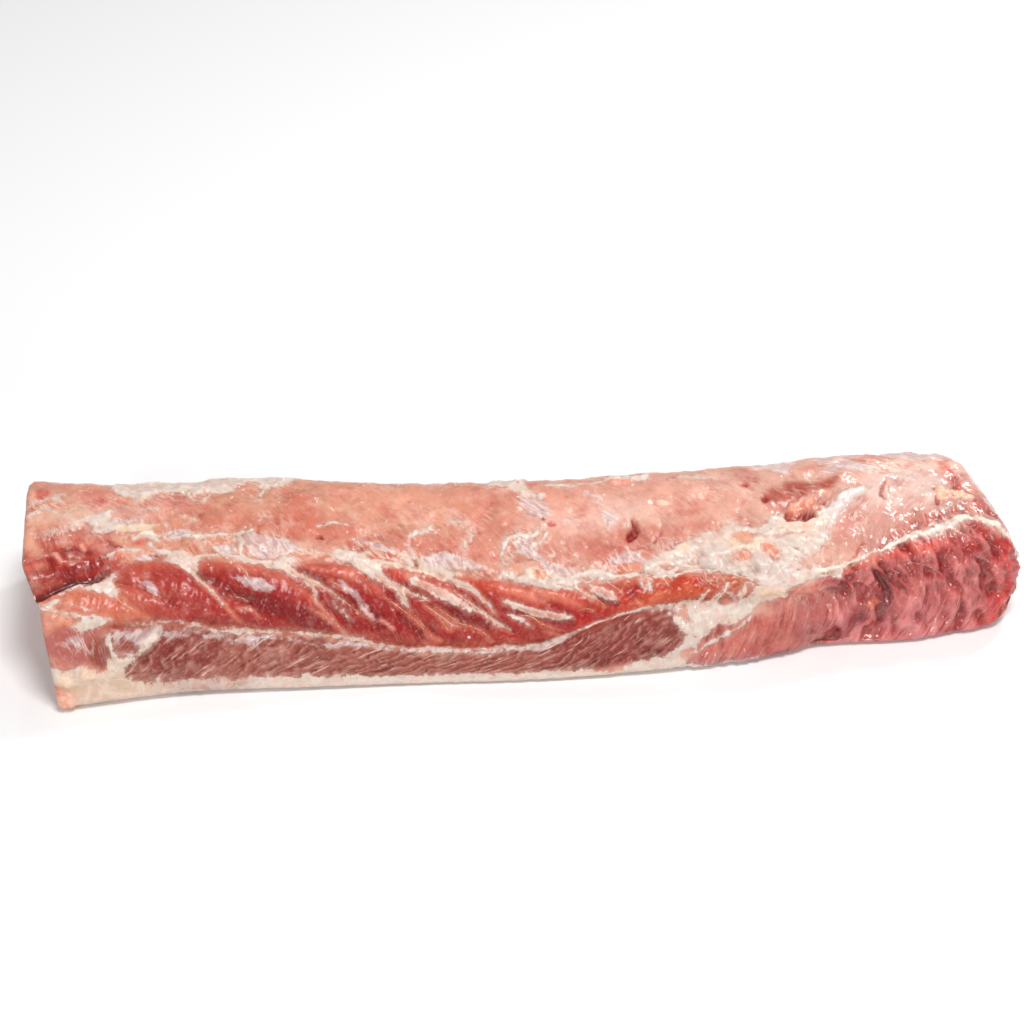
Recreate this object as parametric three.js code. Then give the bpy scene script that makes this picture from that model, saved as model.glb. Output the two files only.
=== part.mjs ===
// A whole boneless pork loin, raw, in one piece.
//
// It lies with its fat side down, so the side that the bones were cut from is on top. The length runs
// along X and the width along Y, and the underside is flat. The front (-Y) shows, from the bottom up, the
// fat edge, a band of lean, a long groove and the diagonal strips of meat from between the ribs. The left
// end (-X) is a straight cut with a rolled muscle over it. The right end (+X) is round and furrowed.
//
// The skin is one closed grid: rails run along the loin, a smooth closed section joins the rails at each
// place, both ends close on a point, and the reliefs then push the grid in or out along its normals.

import * as THREE from "three";

// Driving sizes, in millimetres. A rail holds one value for each of nine stations from left to right.
const LENGTH = 560;
const FOOT_Y = [-56, -51, -53, -56, -60, -60, -56, -50, -42];
const GROOVE_INSET = [5, 6, 6, 5, 5, 6, 6, 4, 3];
const GROOVE_Z = [46, 45, 33, 20, 22, 42, 36, 30, 28];
const SHOULDER_Y = [-31, -12, -18, -20, -40, -37, -49, -33, -32];
const SHOULDER_Z = [62, 65, 62, 54, 50, 52, 53, 57, 60];
const CREST_Y = [56, 50, 51, 40, 34, 34, 34, 38, 34];
const CREST_Z = [71, 69, 67, 66, 66, 66, 66, 67, 65];
const STRIP_BULGE = 4;
const FAT_EDGE = { lean: 1.5, share: 0.33 };
const SOLE_DIP = 1;

// Two rails between shoulder and crest, each [share of the way across, height over the straight line].
const TOP_FRONT = [0.34, 3];
const TOP_MIDDLE = [0.7, 3.3];

// Rails down the back, each [distance behind the crest, share of the crest's height].
const BACK = { high: [14, 0.8], low: [18, 0.36], heel: 12 };

// The two ends: where the cut planes stand, and how deep and how square their edges are rounded.
const LEFT_END = { x: -269, lean: 0.08, lip: 10, lipFrom: 57, lipTo: 66, depth: 4, power: 5, middleZ: 30 };
const RIGHT_END = { x: 277, depth: 24, power: 2.1, middleY: -16, middleZ: 24 };
const RIGHT_CHUNK = { out: 11, y: -46, reach: 22 };
const RIGHT_SWEEP = { fromY: -10, rate: 0.0034 };
const RIGHT_TUCK = { belowZ: 24, rate: 0.02 };

// The grid: rings along the length, steps round each end, and steps from one rail to the next.
const RINGS = 76;
const LEFT_STEPS = 5;
const RIGHT_STEPS = 9;
const STEPS_PER_SPAN = 5;
const SOLE_STEPS = 2;

// Where rails lie round a section, counted from the foot at the front edge of the underside.
const V = { foot: 0, groove: 2, shoulder: 4, heel: 10, end: 12 };

// Cubic through p1 and p2 with the tangents of its neighbours, t from 0 to 1.
function through(p0, p1, p2, p3, t) {
  const linear = p2 - p0;
  const square = 2 * p0 - 5 * p1 + 4 * p2 - p3;
  const cube = -p0 + 3 * p1 - 3 * p2 + p3;
  return 0.5 * (2 * p1 + linear * t + square * t * t + cube * t * t * t);
}

// A rail's value at u, from 0 at the left end to 1 at the right end.
function along(rail, u) {
  const last = rail.length - 1;
  const place = THREE.MathUtils.clamp(u, 0, 1) * last;
  const i = Math.min(Math.floor(place), last - 1);
  const at = (k) => rail[THREE.MathUtils.clamp(k, 0, last)];
  return through(at(i - 1), at(i), at(i + 1), at(i + 2), place - i);
}

// The rails' points [y, z] at u, round the section from the foot.
function sectionRails(u) {
  const foot = along(FOOT_Y, u);
  const groove = [foot + along(GROOVE_INSET, u), along(GROOVE_Z, u)];
  const shoulder = [along(SHOULDER_Y, u), along(SHOULDER_Z, u)];
  const crest = [along(CREST_Y, u), along(CREST_Z, u)];
  const rise = [shoulder[0] - groove[0], shoulder[1] - groove[1]];
  const run = Math.hypot(rise[0], rise[1]);
  const strips = [
    (groove[0] + shoulder[0]) / 2 - (STRIP_BULGE * rise[1]) / run,
    (groove[1] + shoulder[1]) / 2 + (STRIP_BULGE * rise[0]) / run,
  ];
  const top = ([share, crown]) => [
    THREE.MathUtils.lerp(shoulder[0], crest[0], share),
    THREE.MathUtils.lerp(shoulder[1], crest[1], share) + crown,
  ];
  return [
    [foot, SOLE_DIP],
    [foot - FAT_EDGE.lean, groove[1] * FAT_EDGE.share],
    groove,
    strips,
    shoulder,
    top(TOP_FRONT),
    top(TOP_MIDDLE),
    crest,
    [crest[0] + BACK.high[0], crest[1] * BACK.high[1]],
    [crest[0] + BACK.low[0], crest[1] * BACK.low[1]],
    [crest[0] + BACK.heel, SOLE_DIP],
    [(foot + crest[0]) / 2, -SOLE_DIP],
  ];
}

// The point [y, z] of the closed section at u and v, level along the underside.
function section(u, v) {
  const rails = sectionRails(u);
  const i = Math.floor(v);
  const at = (k) => rails[(k + rails.length) % rails.length];
  const coordinate = (c) => through(at(i - 1)[c], at(i)[c], at(i + 1)[c], at(i + 2)[c], v - i);
  return [coordinate(0), Math.max(coordinate(1), 0)];
}

function leftEnd(z) {
  const lip = THREE.MathUtils.smoothstep(z, LEFT_END.lipFrom, LEFT_END.lipTo);
  return LEFT_END.x - LEFT_END.lean * z - LEFT_END.lip * lip;
}

function rightEnd(y, z) {
  const sweep = RIGHT_SWEEP.rate * Math.max(y - RIGHT_SWEEP.fromY, 0) ** 2;
  const chunk = RIGHT_CHUNK.out * Math.exp(-(((y - RIGHT_CHUNK.y) / RIGHT_CHUNK.reach) ** 2));
  const tuck = RIGHT_TUCK.rate * Math.max(RIGHT_TUCK.belowZ - z, 0) ** 2;
  return RIGHT_END.x - sweep + chunk - tuck;
}

// How far an end has drawn the section in, 1 before the end's rounding and 0 at its tip.
function drawIn(distance, end) {
  const t = THREE.MathUtils.clamp(1 - distance / end.depth, 0, 1);
  return (1 - t ** end.power) ** (1 / end.power);
}

// The smooth form without its reliefs.
function form(u, v) {
  const [y0, z0] = section(u, v);
  const atRight = (1 - u) * LENGTH < RIGHT_END.depth;
  const scale = drawIn(u * LENGTH, LEFT_END) * drawIn((1 - u) * LENGTH, RIGHT_END);
  const middleY = atRight ? RIGHT_END.middleY : (along(FOOT_Y, u) + along(CREST_Y, u)) / 2;
  const middleZ = atRight ? RIGHT_END.middleZ : LEFT_END.middleZ;
  const y = THREE.MathUtils.lerp(middleY, y0, scale);
  const z = THREE.MathUtils.lerp(middleZ, z0, scale);
  const x = THREE.MathUtils.lerp(leftEnd(z), rightEnd(y, z), u);
  return new THREE.Vector3(x, y, z);
}

// A smooth hump of height 1 round a centre, and 1 inside a range with soft edges.
const hump = (value, centre, reach) => Math.exp(-(((value - centre) / reach) ** 2));
const within = (value, from, to, soft) =>
  THREE.MathUtils.smoothstep(value, from - soft, from + soft) *
  (1 - THREE.MathUtils.smoothstep(value, to - soft, to + soft));

// The rolled muscle at the left end, and the crease that it hangs over.
const ROLL = { height: 6, v: 4.35, reach: 0.46, length: 72 };
const CREASE = { depth: 4.5, v: 3.82, reach: 0.16, from: 0, to: 48, soft: 8 };

function rollRelief(a, v) {
  const taper = Math.sqrt(Math.max(1 - a / ROLL.length, 0));
  const roll = ROLL.height * taper * hump(v, ROLL.v, ROLL.reach);
  const creaseLength = within(a, CREASE.from, CREASE.to, CREASE.soft);
  return roll - CREASE.depth * creaseLength * hump(v, CREASE.v, CREASE.reach);
}

// The diagonal strips between the ribs: rounded ridges with a seam between each two.
const RIBS = { spacing: 46, shift: 14, slope: 26, height: 2.4, level: 0.75, from: 40, to: 345, soft: 20 };
const RIB_BAND = { from: V.groove + 0.25, to: V.shoulder - 0.1, soft: 0.25 };

function ribRelief(a, v) {
  const phase = (a + RIBS.slope * (v - V.groove) - RIBS.shift) / RIBS.spacing;
  const ridge = Math.sqrt(Math.abs(Math.sin(Math.PI * phase)));
  const band = within(v, RIB_BAND.from, RIB_BAND.to, RIB_BAND.soft);
  return RIBS.height * (ridge - RIBS.level) * within(a, RIBS.from, RIBS.to, RIBS.soft) * band;
}

// The groove between the strips and the band of lean under them.
const GROOVE = { depth: 3, reach: 0.16, from: 34, to: 372, soft: 18 };

function grooveRelief(a, v) {
  const length = within(a, GROOVE.from, GROOVE.to, GROOVE.soft);
  return -GROOVE.depth * length * hump(v, V.groove, GROOVE.reach);
}

// Furrows across the front of the right end, each [place along, depth, reach], and the waist under them.
const FURROWS = [
  [472, 5, 8],
  [484, -3, 6],
  [457, 3, 5],
  [507, 2.5, 5],
  [531, 2.5, 6],
];
const FURROW_BAND = { from: 0.3, to: 3.5, soft: 0.5 };
const WAIST = { depth: 5, a: 456, reach: 32, v: 0.5, reachV: 0.9 };

function furrowRelief(a, v) {
  const band = within(v, FURROW_BAND.from, FURROW_BAND.to, FURROW_BAND.soft);
  const cuts = FURROWS.reduce((sum, [place, depth, reach]) => sum + depth * hump(a, place, reach), 0);
  return -cuts * band - WAIST.depth * hump(a, WAIST.a, WAIST.reach) * hump(v, WAIST.v, WAIST.reachV);
}

// Hollows and swellings of the top, each [place along, v, height, reach along, reach in v].
const TOP_MARKS = [
  [337, 5.1, -3.5, 7, 0.3],
  [436, 5.4, -3.5, 12, 0.25],
  [395, 4.5, 2.5, 40, 0.5],
  [516, 5.2, 2, 9, 0.25],
  [30, 5.55, 1.5, 22, 0.3],
  [280, 5.6, 1.5, 16, 0.8],
  [490, 4.9, 2, 30, 0.8],
];

function topRelief(a, v) {
  const add = (sum, [place, atV, height, reach, reachV]) =>
    sum + height * hump(a, place, reach) * hump(v, atV, reachV);
  return TOP_MARKS.reduce(add, 0);
}

// All reliefs together, fading out before the underside and at the tips of both ends.
const RELIEF_BAND = { from: V.foot + 0.2, to: V.heel - 0.3, soft: 0.2 };

function relief(u, v) {
  const a = u * LENGTH;
  const aboveSole = within(v, RELIEF_BAND.from, RELIEF_BAND.to, RELIEF_BAND.soft);
  const ends = drawIn(a, LEFT_END) * drawIn(LENGTH - a, RIGHT_END);
  const sum =
    rollRelief(a, v) + ribRelief(a, v) + grooveRelief(a, v) + furrowRelief(a, v) + topRelief(a, v);
  return sum * aboveSole * ends;
}

// The skin's point at u and v, with the form's outward normal found from its neighbours.
const NORMAL_STEP = 1e-3;

function skin(u, v) {
  const step = NORMAL_STEP;
  const alongStep = form(Math.min(u + step, 1), v).sub(form(Math.max(u - step, 0), v));
  const roundStep = form(u, (v + step) % V.end).sub(form(u, (v - step + V.end) % V.end));
  const outward = alongStep.cross(roundStep).normalize();
  return form(u, v).addScaledVector(outward, relief(u, v));
}

// Places of the rings, close together where the ends round off.
function ringPlaces() {
  const places = [];
  const fromTip = (end, share) => (end.depth * (1 - (1 - share ** end.power) ** (1 / end.power))) / LENGTH;
  for (let i = 1; i <= LEFT_STEPS; i += 1) {
    places.push(fromTip(LEFT_END, Math.sin((Math.PI / 2) * (i / LEFT_STEPS))));
  }
  const first = LEFT_END.depth / LENGTH;
  const last = 1 - RIGHT_END.depth / LENGTH;
  for (let i = 1; i < RINGS; i += 1) {
    places.push(THREE.MathUtils.lerp(first, last, i / RINGS));
  }
  for (let i = RIGHT_STEPS; i >= 1; i -= 1) {
    places.push(1 - fromTip(RIGHT_END, Math.sin((Math.PI / 2) * (i / RIGHT_STEPS))));
  }
  return places;
}

// Places round the section: even steps between rails, and few on the flat underside.
function roundPlaces() {
  const places = [];
  for (let span = V.foot; span < V.end; span += 1) {
    const steps = span < V.heel ? STEPS_PER_SPAN : SOLE_STEPS;
    for (let i = 0; i < steps; i += 1) {
      places.push(span + i / steps);
    }
  }
  return places;
}

function loinGeometry() {
  const rings = ringPlaces();
  const round = roundPlaces();
  const points = rings.flatMap((u) => round.map((v) => skin(u, v)));
  points.push(form(0, 0), form(1, 0));
  const leftTip = points.length - 2;
  const rightTip = points.length - 1;
  const at = (ring, k) => ring * round.length + (k % round.length);
  const index = [];
  for (let k = 0; k < round.length; k += 1) {
    index.push(leftTip, at(0, k), at(0, k + 1));
    for (let ring = 0; ring < rings.length - 1; ring += 1) {
      index.push(at(ring, k), at(ring + 1, k), at(ring + 1, k + 1));
      index.push(at(ring, k), at(ring + 1, k + 1), at(ring, k + 1));
    }
    index.push(rightTip, at(rings.length - 1, k + 1), at(rings.length - 1, k));
  }
  const geometry = new THREE.BufferGeometry().setFromPoints(points);
  geometry.setIndex(index);
  geometry.computeBoundingBox();
  const box = geometry.boundingBox;
  const middle = box.getCenter(new THREE.Vector3());
  geometry.translate(-middle.x, -middle.y, -box.min.z);
  geometry.computeVertexNormals();
  return geometry;
}

const rawPork = new THREE.MeshStandardMaterial({ color: "#d98a78", roughness: 0.38, metalness: 0 });

const group = new THREE.Group();
const loin = new THREE.Mesh(loinGeometry(), rawPork);
loin.name = "pork_loin";
group.add(loin);

export default group;
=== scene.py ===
# %% [markdown]
# # A raw boneless pork loin
#
# A whole boneless loin lies fat side down, with the side that the bones were cut from on top. The packed
# model gives its true outer form. This notebook grows a fine skin over that form, paints lean, fat and
# silverskin on it by where they lie on the real cut, with painted shade in its hollows and painted
# highlights on its ridges, and adds two small raised pieces: threads of seam and flecks of fat, which on the
# end muscle stand in for glints. Sizes are in millimetres, as a butcher would measure them, until a mesh is
# made.

# %% Load the imported model
import math

import bpy
import numpy as np
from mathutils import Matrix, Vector
from mathutils.bvhtree import BVHTree


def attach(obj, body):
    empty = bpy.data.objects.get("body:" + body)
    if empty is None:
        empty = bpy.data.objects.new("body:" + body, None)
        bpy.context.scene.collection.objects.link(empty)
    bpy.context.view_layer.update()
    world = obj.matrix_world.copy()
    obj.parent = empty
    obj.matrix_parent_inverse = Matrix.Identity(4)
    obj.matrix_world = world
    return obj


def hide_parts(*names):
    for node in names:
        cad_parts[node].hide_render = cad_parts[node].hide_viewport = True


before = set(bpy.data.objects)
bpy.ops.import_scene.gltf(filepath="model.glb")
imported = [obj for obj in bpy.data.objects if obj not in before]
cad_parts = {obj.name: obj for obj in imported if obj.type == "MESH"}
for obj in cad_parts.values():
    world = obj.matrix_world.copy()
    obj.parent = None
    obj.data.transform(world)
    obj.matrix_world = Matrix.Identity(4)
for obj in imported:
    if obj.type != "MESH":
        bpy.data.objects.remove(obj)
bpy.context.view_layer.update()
NODE = "pork_loin"
MM = 0.001

# %% [markdown]
# ## The form
#
# The loin is a loft. Seven rails run from the left end to the right end, each with a value at nine
# stations, and a smooth closed curve joins them round each section. Two numbers name a place on it: u runs
# along the loin, and v counts the rails round it from the foot, at the front edge of the underside. The
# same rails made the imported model, so the skin lies where the model is. A sculpted mesh would also do, but
# a loft can be measured, and every later step can ask it where a place is.

# %% The rails, in millimetres
LENGTH = 560
FOOT_Y = [-56, -51, -53, -56, -60, -60, -56, -50, -42]
GROOVE_INSET = [5, 6, 6, 5, 5, 6, 6, 4, 3]
GROOVE_Z = [46, 45, 33, 20, 22, 42, 36, 30, 28]
SHOULDER_Y = [-31, -12, -18, -20, -40, -37, -49, -33, -32]
SHOULDER_Z = [62, 65, 62, 54, 50, 52, 53, 57, 60]
CREST_Y = [56, 50, 51, 40, 34, 34, 34, 38, 34]
CREST_Z = [71, 69, 67, 66, 66, 66, 66, 67, 65]
RAIL_COUNT = 12
STRIP_BULGE = 4
FAT_EDGE_OUT, FAT_EDGE_SHARE = 1.5, 0.33
TOP_CROWN, TOP_FRONT, TOP_MIDDLE = 3, 0.34, 0.7
BACK_HIGH, BACK_LOW, HEEL_OUT = (14, 0.8), (18, 0.36), 12
LEFT_X, LEFT_LEAN = -269, 0.08
LIP_OUT, LIP_FROM_Z, LIP_TO_Z = 10, 57, 66
RIGHT_X, SWEEP_FROM_Y, SWEEP_RATE = 277, -10, 0.0034
CHUNK_OUT, CHUNK_Y, CHUNK_REACH = 11, -46, 22
TUCK_BELOW_Z, TUCK_RATE = 24, 0.02
LEFT_DEPTH, LEFT_POWER, LEFT_MIDDLE_Z = 4, 5, 30
RIGHT_DEPTH, RIGHT_POWER, RIGHT_MIDDLE_Y, RIGHT_MIDDLE_Z = 24, 2.1, -16, 24


def smooth(low, high, value):
    """0 below low, 1 above high and a soft step between."""
    t = np.clip((value - low) / (high - low), 0, 1)
    return t * t * (3 - 2 * t)


def hump(value, centre, reach):
    """A soft hump of height 1 round a centre."""
    return np.exp(-(((value - centre) / reach) ** 2))


def within(value, low, high, soft):
    """1 between low and high, with soft edges."""
    return smooth(low - soft, low + soft, value) * (1 - smooth(high - soft, high + soft, value))


def through(p0, p1, p2, p3, t):
    """The cubic from p1 to p2 that takes its slopes from its neighbours."""
    cube = -p0 + 3 * p1 - 3 * p2 + p3
    return 0.5 * (2 * p1 + (p2 - p0) * t + (2 * p0 - 5 * p1 + 4 * p2 - p3) * t**2 + cube * t**3)


def along(rail, u):
    """A rail's value at each u, from 0 at the left end to 1 at the right end."""
    rail = np.asarray(rail, float)
    last = len(rail) - 1
    place = np.clip(u, 0, 1) * last
    i = np.minimum(place.astype(int), last - 1)
    at = [rail[np.clip(i + k, 0, last)] for k in (-1, 0, 1, 2)]
    return through(*at, place - i)


# %% The section and the two ends
def section_rails(u):
    """The rails' points round the section at each u, as two arrays of y and z."""
    foot = along(FOOT_Y, u)
    groove_y, groove_z = foot + along(GROOVE_INSET, u), along(GROOVE_Z, u)
    shoulder_y, shoulder_z = along(SHOULDER_Y, u), along(SHOULDER_Z, u)
    crest_y, crest_z = along(CREST_Y, u), along(CREST_Z, u)
    rise_y, rise_z = shoulder_y - groove_y, shoulder_z - groove_z
    run = np.hypot(rise_y, rise_z)
    top_y, top_z = crest_y - shoulder_y, crest_z - shoulder_z
    level = np.zeros_like(foot)
    points = [
        (foot, level + 1),
        (foot - FAT_EDGE_OUT, groove_z * FAT_EDGE_SHARE),
        (groove_y, groove_z),
        ((groove_y + shoulder_y) / 2 - STRIP_BULGE * rise_z / run,
         (groove_z + shoulder_z) / 2 + STRIP_BULGE * rise_y / run),
        (shoulder_y, shoulder_z),
        (shoulder_y + TOP_FRONT * top_y, shoulder_z + TOP_FRONT * top_z + TOP_CROWN),
        (shoulder_y + TOP_MIDDLE * top_y, shoulder_z + TOP_MIDDLE * top_z + TOP_CROWN * 1.1),
        (crest_y, crest_z),
        (crest_y + BACK_HIGH[0], crest_z * BACK_HIGH[1]),
        (crest_y + BACK_LOW[0], crest_z * BACK_LOW[1]),
        (crest_y + HEEL_OUT, level + 1),
        ((foot + crest_y) / 2, level - 1),
    ]
    return np.stack([y for y, z in points]), np.stack([z for y, z in points])


def section(u, v):
    """The closed curve through the rails, level along the underside."""
    i = np.floor(v).astype(int)
    result = []
    for rails in section_rails(u):
        at = [np.take_along_axis(rails, ((i + k) % RAIL_COUNT)[None], 0)[0] for k in (-1, 0, 1, 2)]
        result.append(through(*at, v - i))
    return result[0], np.maximum(result[1], 0)


def left_end(z):
    """Where the left cut stands: it leans out towards the top, and the roll juts over it."""
    return LEFT_X - LEFT_LEAN * z - LIP_OUT * smooth(LIP_FROM_Z, LIP_TO_Z, z)


def right_end(y, z):
    """Where the right end stands: swept back behind, out at the coarse muscle, and tucked in below."""
    sweep = SWEEP_RATE * np.maximum(y - SWEEP_FROM_Y, 0) ** 2
    tuck = TUCK_RATE * np.maximum(TUCK_BELOW_Z - z, 0) ** 2
    return RIGHT_X - sweep + CHUNK_OUT * hump(y, CHUNK_Y, CHUNK_REACH) - tuck


def draw_in(distance, depth, power):
    """How far an end has drawn the section in: 1 before its rounding starts and 0 at its tip."""
    return (1 - np.clip(1 - distance / depth, 0, 1) ** power) ** (1 / power)


def form(u, v):
    """The smooth form, as points in mm."""
    y, z = section(u, v)
    scale = draw_in(u * LENGTH, LEFT_DEPTH, LEFT_POWER)
    scale = scale * draw_in((1 - u) * LENGTH, RIGHT_DEPTH, RIGHT_POWER)
    at_right = (1 - u) * LENGTH < RIGHT_DEPTH
    middle_y = np.where(at_right, RIGHT_MIDDLE_Y, (along(FOOT_Y, u) + along(CREST_Y, u)) / 2)
    middle_z = np.where(at_right, RIGHT_MIDDLE_Z, LEFT_MIDDLE_Z)
    y = middle_y + (y - middle_y) * scale
    z = middle_z + (z - middle_z) * scale
    return np.stack([left_end(z) + u * (right_end(y, z) - left_end(z)), y, z], -1)


# %% [markdown]
# ## The grid
#
# The skin is one closed grid of quads. Where the camera comes close, a quad is a little over a millimetre,
# which is fine enough for fibres in bundles. On the underside it is coarser. At both ends the rings shrink
# to a point, so there their steps follow the size of the ring, and the cut face gets even quads too.

# %% Places of the rings and of the steps round them
RING_STEP = 1.13
LEFT_RINGS, RIGHT_RINGS = 34, 30
SPAN_STEPS = [9, 17, 17, 18, 23, 23, 21, 15, 12, 9, 8, 8]
SPAN_MM = [0, 10, 30, 50, 70, 97, 124, 150, 166, 191, 216, 266, 316]


def tip_places(depth, power, share):
    """Distances from an end's tip at which the ring has grown to each share of its full size."""
    return depth * (1 - (1 - share**power) ** (1 / power))


left_tip = tip_places(LEFT_DEPTH, LEFT_POWER, np.linspace(0, 1, LEFT_RINGS + 1)[1:])
right_tip = tip_places(RIGHT_DEPTH, RIGHT_POWER, np.sin(np.linspace(0, math.pi / 2, RIGHT_RINGS + 1)[1:]))
middle = np.arange(LEFT_DEPTH + RING_STEP, LENGTH - RIGHT_DEPTH - RING_STEP / 2, RING_STEP)
ring_u = np.concatenate([left_tip, middle, LENGTH - right_tip[::-1]]) / LENGTH
round_v = np.concatenate([k + np.arange(n) / n for k, n in enumerate(SPAN_STEPS)])
U, V = np.meshgrid(ring_u, round_v, indexing="ij")
RAIL_NUMBERS = np.arange(RAIL_COUNT + 1)
A = U * LENGTH
W = np.interp(V, RAIL_NUMBERS, SPAN_MM)
IN_FRONT = V < 8
print("rings and steps round them:", U.shape, "triangles:", 2 * U.size)

# %% Points and outward normals of the smooth form
BASE = form(U, V)
across = np.roll(BASE, -1, 1) - np.roll(BASE, 1, 1)
NORMAL = np.cross(np.gradient(BASE, axis=0), across)
NORMAL /= np.maximum(np.linalg.norm(NORMAL, axis=-1, keepdims=True), 1e-9)
TIP = np.minimum(draw_in(A, LEFT_DEPTH, LEFT_POWER), draw_in(LENGTH - A, RIGHT_DEPTH, RIGHT_POWER))
print("form, mm:", np.ptp(BASE.reshape(-1, 3), axis=0).round(1))

# %% [markdown]
# ## Clouds of noise
#
# Meat is never even, so most later steps add a little noise. This is gradient noise, the same kind that
# the Noise Texture node draws, written for arrays so that it can move points as well as colour them. A
# fixed seed makes it come out the same each time. The last lines use it to bend the two measures of a place,
# along and round, by a millimetre or two.

# %% Gradient noise
NOISE = np.random.default_rng(11)
SHUFFLE = np.tile(NOISE.permutation(256), 3)
SLOPES = NOISE.normal(size=(256, 3))
SLOPES /= np.linalg.norm(SLOPES, axis=1, keepdims=True)


def cloud(points, size, octaves=1, seed=0):
    """Smooth noise from about -1 to 1, with lumps of about size mm (one number, or one for each axis)."""
    total, weight = 0, 0
    for octave in range(octaves):
        p = points / np.asarray(size, float) * 2**octave + 31.7 * (seed + 1) + 7.3 * octave
        cell = np.floor(p).astype(int)
        f = p - cell
        fade = f * f * f * (f * (f * 6 - 15) + 10)
        value = 0
        for corner in np.ndindex(2, 2, 2):
            c = (cell + corner) & 255
            pick = SHUFFLE[SHUFFLE[SHUFFLE[c[..., 0]] + c[..., 1]] + c[..., 2]]
            dot = (SLOPES[pick] * (f - corner)).sum(-1)
            share = np.prod(np.where(np.array(corner) == 1, fade, 1 - fade), -1)
            value = value + dot * share
        total = total + value * 0.5**octave
        weight += 0.5**octave
    return 1.6 * total / weight


WARP_A = 1.5 * cloud(BASE, 8, 2, 1) + 0.5 * cloud(BASE, 2.6, 1, 2)
WARP_W = 1.5 * cloud(BASE, 8, 2, 3) + 0.5 * cloud(BASE, 2.6, 1, 4)
MAP_A, MAP_W = A + WARP_A, W + WARP_W

# %% [markdown]
# ## Laying out the cut
#
# A place on the skin also has two measures in mm: how far along it is from the left end, and how far round
# it is from the foot. Fat, silverskin and muscles are laid out in these two. A stroke is a line that swells
# and narrows, a patch is a closed outline, and a spot is an oval. Each gives a distance that is positive
# inside, so shapes join with max and are cut out with min. The noise above has already bent the measures a
# little, which leaves every edge ragged, as a knife and a pulled membrane leave it.

# %% Strokes, patches and spots
def line_distance(points, a, w):
    """Inside distance of a line through (along, round, half width) points, at the places a and w."""
    best = np.full(A.shape, -99.0)
    for (a0, w0, r0), (a1, w1, r1) in zip(points, points[1:]):
        da, dw = a1 - a0, w1 - w0
        t = np.clip(((a - a0) * da + (w - w0) * dw) / (da * da + dw * dw), 0, 1)
        best = np.maximum(best, r0 + (r1 - r0) * t - np.hypot(a - a0 - t * da, w - w0 - t * dw))
    return best


def stroke(*points):
    return line_distance(points, MAP_A, MAP_W)


def patch(*points):
    """Inside distance of a closed outline of (along, round) points."""
    edge = np.full(A.shape, 99.0)
    inside = np.zeros(A.shape, bool)
    for (a0, w0), (a1, w1) in zip(points, points[1:] + points[:1]):
        da, dw = a1 - a0, w1 - w0
        t = np.clip(((MAP_A - a0) * da + (MAP_W - w0) * dw) / (da * da + dw * dw), 0, 1)
        edge = np.minimum(edge, np.hypot(MAP_A - a0 - t * da, MAP_W - w0 - t * dw))
        if dw:
            inside ^= ((w0 > MAP_W) != (w1 > MAP_W)) & (MAP_A < a0 + (MAP_W - w0) * da / dw)
    return np.where(inside, edge, -edge)


def oval(dx, dy, reach_x, reach_y, turn):
    """Inside distance of an oval, turned by some degrees, from the distances to its middle."""
    c, s = math.cos(math.radians(turn)), math.sin(math.radians(turn))
    return (1 - np.hypot((dx * c + dy * s) / reach_x, (dy * c - dx * s) / reach_y)) * min(reach_x, reach_y)


def spot(a, w, reach_a, reach_w, turn=0):
    return oval(MAP_A - a, MAP_W - w, reach_a, reach_w, turn)


def joined(*shapes):
    return np.maximum.reduce(shapes)


def soft(shape, edge=2.0):
    """A shape as a share from 0 to 1, with an edge that is 2 * edge mm wide."""
    return smooth(-edge, edge, shape)


# %% [markdown]
# ### Seams between the strips
#
# The intercostal muscles lay between the ribs, so the flank is a row of slanting strips. A thin white seam
# parts each from the next. The seams are laid out first, because three later steps need them: the strips
# swell between them, the skin is paler along them, and threads of seam stand on them.

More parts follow.
